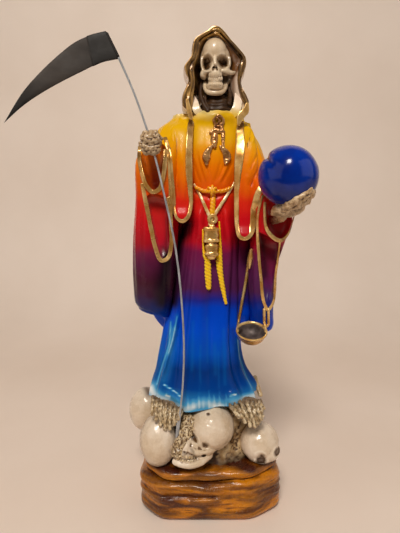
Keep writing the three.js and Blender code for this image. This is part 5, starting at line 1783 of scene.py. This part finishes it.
class Paints(PropertyGroup):
    deep_blue: paint_color("Deep blue", "Robe above its hem", 0, 50, 126)
    blue: paint_color("Blue", "Robe below its purple band", 0, 74, 208)
    violet: paint_color("Violet", "Lower part of the purple band", 82, 31, 80)
    purple: paint_color("Purple", "Upper part of the purple band", 97, 34, 82)
    red: paint_color("Red", "Robe at the elbows", 204, 18, 28)
    orange: paint_color("Orange", "Robe below the chest", 224, 88, 6)
    amber: paint_color("Amber", "Robe at the chest", 238, 150, 2)
    yellow: paint_color("Yellow", "Robe at the shoulders", 228, 176, 8)
    cream: paint_color("Cream", "Robe at the neck", 226, 208, 186)
    # Also the white of the painted highlights on the skirt.
    hem_and_highlight_white: paint_color("Hem white", "Brushed edges of the hem", 240, 246, 250)
    rope: paint_color("Rope", "Belt and its ends", 250, 196, 10)
    gold_deep: paint_color("Deep gold", "Gilt edges, darker", 192, 136, 60)
    gold_bright: paint_color("Bright gold", "Gilt edges, lighter", 238, 196, 126)
    bone_deep: paint_color("Deep bone", "Skulls, darker", 206, 182, 152)
    bone_bright: paint_color("Bright bone", "Skulls, lighter", 232, 214, 192)
    head_deep: paint_color("Deep face", "Face, darker", 202, 174, 138)
    head_bright: paint_color("Bright face", "Face, lighter", 224, 200, 168)
    ball_deep: paint_color("Deep ball", "Ball, darker", 0, 30, 116)
    ball_bright: paint_color("Bright ball", "Ball, lighter", 0, 50, 158)
    wire_deep: paint_color("Deep wire", "Scythe's wire, darker", 134, 136, 140)
    wire_bright: paint_color("Bright wire", "Scythe's wire, lighter", 182, 184, 188)
    blade_deep: paint_color("Deep blade", "Blade, darker", 38, 31, 26)
    blade_bright: paint_color("Bright blade", "Blade, lighter", 56, 47, 40)
    wood_deep: paint_color("Deep wood", "Base, darker", 76, 30, 0)
    wood_bright: paint_color("Bright wood", "Base, lighter", 204, 122, 10)


class Studio(PropertyGroup):
    main_power: light_power("Main light", "Power of the light above the front", 10.5)
    fill_power: light_power("Side lights", "Power of each light at the side", 2.8)
    floor_deep: paint_color("Deep floor", "Floor, darker", 238, 221, 206)
    floor_bright: paint_color("Bright floor", "Floor, lighter", 244, 228, 214)


class BaseSizes(PropertyGroup):
    width: length("Width", "Width of the lower tier", 90)
    depth: length("Depth", "Depth of the lower tier", 73)
    lower_height: length("Lower tier", "Height of the lower tier", 21.7)
    front_corner: length("Front corners", "How far back the front corners are cut", 14)
    left_corner: length("Left corner", "Width of the cut left front corner", 14)
    right_corner: length("Right corner", "Width of the cut right front corner", 20)
    back_corner: length("Back corners", "Size of the cut back corners", 12)


class TrimSizes(PropertyGroup):
    toe_width: length("Toes", "Width of a toe at its knobs", 2.3)
    rope_depth: length("Rope depth", "Most that a rope stands off the cloth", 2.4)
    rope_twist: length("Rope twist", "Length of one turn of a rope's strands", 4.4)
    ball_diameter: length("Ball", "Diameter of the ball", 32.6)
    pan_radius: length("Pan", "Radius of the scale pan", 9.7)


class ScytheSizes(PropertyGroup):
    wire_width: length("Wire", "Width of the bent wire", 1.15)
    foot_widening: length("Foot width", "How much wider the wire is at its foot", 1.2)
    foot_thickening: length("Foot thickness", "How much thicker the wire is at its foot", 0.3)
    blade_length: length("Blade length", "Length of the blade from root to tip", 68.5)
    blade_width: length("Blade width", "Width of the blade at its root", 15.8)
    blade_thickness: length("Blade thickness", "Thickness of the blade's sheet", 0.6)


GROUPS = {"statuette_paints": Paints, "statuette_studio": Studio, "statuette_base": BaseSizes,
          "statuette_trims": TrimSizes, "statuette_scythe": ScytheSizes}


# One operator for each piece or group of like pieces. A maker that can't finish raises an error.
class Maker:
    """What the operators share"""
    bl_options = {"REGISTER", "UNDO"}


class STATUETTE_OT_paints(Maker, Operator):
    """Mixes every finish of the figure from the paints"""
    bl_idname = "statuette.paints"
    bl_label = "Paints"

    def execute(self, context):
        make_finishes(context.scene.statuette_paints)
        return {"FINISHED"}


class STATUETTE_OT_stage(Maker, Operator):
    """Sets the floor, the light and the camera"""
    bl_idname = "statuette.stage"
    bl_label = "Stage"

    def execute(self, context):
        make_stage(context.scene.statuette_studio)
        return {"FINISHED"}


class STATUETTE_OT_base(Maker, Operator):
    """Models the two-tier base with its gouged sides"""
    bl_idname = "statuette.base"
    bl_label = "Base"

    def execute(self, context):
        make_base(context.scene.statuette_base)
        return {"FINISHED"}


class STATUETTE_OT_ground(Maker, Operator):
    """Models the ground above the base"""
    bl_idname = "statuette.ground"
    bl_label = "Ground"

    def execute(self, context):
        make_ground()
        return {"FINISHED"}


class STATUETTE_OT_skulls(Maker, Operator):
    """Models the skulls that the figure stands on"""
    bl_idname = "statuette.skulls"
    bl_label = "Skulls"

    def execute(self, context):
        make_skulls()
        return {"FINISHED"}


class STATUETTE_OT_feet(Maker, Operator):
    """Models the toe bones below the hem"""
    bl_idname = "statuette.feet"
    bl_label = "Feet"

    def execute(self, context):
        make_feet(context.scene.statuette_trims)
        return {"FINISHED"}


class STATUETTE_OT_robe(Maker, Operator):
    """Models the tunic and the mantle"""
    bl_idname = "statuette.robe"
    bl_label = "Robe"

    def execute(self, context):
        make_robe()
        return {"FINISHED"}


class STATUETTE_OT_sleeves(Maker, Operator):
    """Models the hanging sleeves with their mouths"""
    bl_idname = "statuette.sleeves"
    bl_label = "Sleeves"

    def execute(self, context):
        make_sleeves()
        return {"FINISHED"}


class STATUETTE_OT_panels(Maker, Operator):
    """Models the front edges of the mantle"""
    bl_idname = "statuette.panels"
    bl_label = "Panels"

    def execute(self, context):
        make_panels()
        return {"FINISHED"}


class STATUETTE_OT_hood(Maker, Operator):
    """Models the hood with its gilt rim"""
    bl_idname = "statuette.hood"
    bl_label = "Hood"

    def execute(self, context):
        make_hood()
        return {"FINISHED"}


class STATUETTE_OT_head(Maker, Operator):
    """Models the skull, its teeth and the neck"""
    bl_idname = "statuette.head"
    bl_label = "Head"

    def execute(self, context):
        make_head()
        return {"FINISHED"}


class STATUETTE_OT_gold_edges(Maker, Operator):
    """Models the gilt edges of cuffs, mouths and panels"""
    bl_idname = "statuette.gold_edges"
    bl_label = "Gold edges"

    def execute(self, context):
        make_gold_edges()
        return {"FINISHED"}


class STATUETTE_OT_ropes(Maker, Operator):
    """Models the belt and its hanging ends"""
    bl_idname = "statuette.ropes"
    bl_label = "Ropes"

    def execute(self, context):
        make_ropes(context.scene.statuette_trims)
        return {"FINISHED"}


class STATUETTE_OT_hourglass(Maker, Operator):
    """Models the hourglass and its cords"""
    bl_idname = "statuette.hourglass"
    bl_label = "Hourglass"

    def execute(self, context):
        make_hourglass()
        return {"FINISHED"}


class STATUETTE_OT_pendant(Maker, Operator):
    """Models the pendant on the chest"""
    bl_idname = "statuette.pendant"
    bl_label = "Pendant"

    def execute(self, context):
        make_pendant()
        return {"FINISHED"}


class STATUETTE_OT_hands(Maker, Operator):
    """Models both hands"""
    bl_idname = "statuette.hands"
    bl_label = "Hands"

    def execute(self, context):
        make_hands()
        return {"FINISHED"}


class STATUETTE_OT_ball(Maker, Operator):
    """Models the ball in the open hand"""
    bl_idname = "statuette.ball"
    bl_label = "Ball"

    def execute(self, context):
        make_ball(context.scene.statuette_trims)
        return {"FINISHED"}


class STATUETTE_OT_scales(Maker, Operator):
    """Models the scale pan and its chains"""
    bl_idname = "statuette.scales"
    bl_label = "Scales"

    def execute(self, context):
        make_scales(context.scene.statuette_trims)
        return {"FINISHED"}


class STATUETTE_OT_scythe(Maker, Operator):
    """Models the wire and the blade"""
    bl_idname = "statuette.scythe"
    bl_label = "Scythe"

    def execute(self, context):
        make_scythe(context.scene.statuette_scythe)
        return {"FINISHED"}


OPERATORS = [
    STATUETTE_OT_paints,
    STATUETTE_OT_stage,
    STATUETTE_OT_base,
    STATUETTE_OT_ground,
    STATUETTE_OT_skulls,
    STATUETTE_OT_feet,
    STATUETTE_OT_robe,
    STATUETTE_OT_sleeves,
    STATUETTE_OT_panels,
    STATUETTE_OT_hood,
    STATUETTE_OT_head,
    STATUETTE_OT_gold_edges,
    STATUETTE_OT_ropes,
    STATUETTE_OT_hourglass,
    STATUETTE_OT_pendant,
    STATUETTE_OT_hands,
    STATUETTE_OT_ball,
    STATUETTE_OT_scales,
    STATUETTE_OT_scythe,
]


class STATUETTE_PT_panel(Panel):
    """Lists the operators and the settings in the sidebar"""
    bl_idname = "STATUETTE_PT_panel"
    bl_label = "Statuette"
    bl_space_type = "VIEW_3D"
    bl_region_type = "UI"
    bl_category = "Statuette"

    def draw(self, context):
        for made in OPERATORS:
            self.layout.operator(made.bl_idname)
        for key, group in GROUPS.items():
            box = self.layout.box()
            for name in group.__annotations__:
                box.prop(getattr(context.scene, key), name)


def register():
    for key, group in GROUPS.items():
        bpy.utils.register_class(group)
        setattr(bpy.types.Scene, key, PointerProperty(type=group))
    for made in OPERATORS:
        bpy.utils.register_class(made)
    bpy.utils.register_class(STATUETTE_PT_panel)


def unregister():
    bpy.utils.unregister_class(STATUETTE_PT_panel)
    for made in reversed(OPERATORS):
        bpy.utils.unregister_class(made)
    for key, group in reversed(GROUPS.items()):
        delattr(bpy.types.Scene, key)
        bpy.utils.unregister_class(group)


def main():
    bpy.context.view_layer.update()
    register()
    for made in OPERATORS:
        getattr(bpy.ops.statuette, made.bl_idname.split(".")[1])()
    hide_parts("cast_figure")


if __name__ == "__main__":
    main()
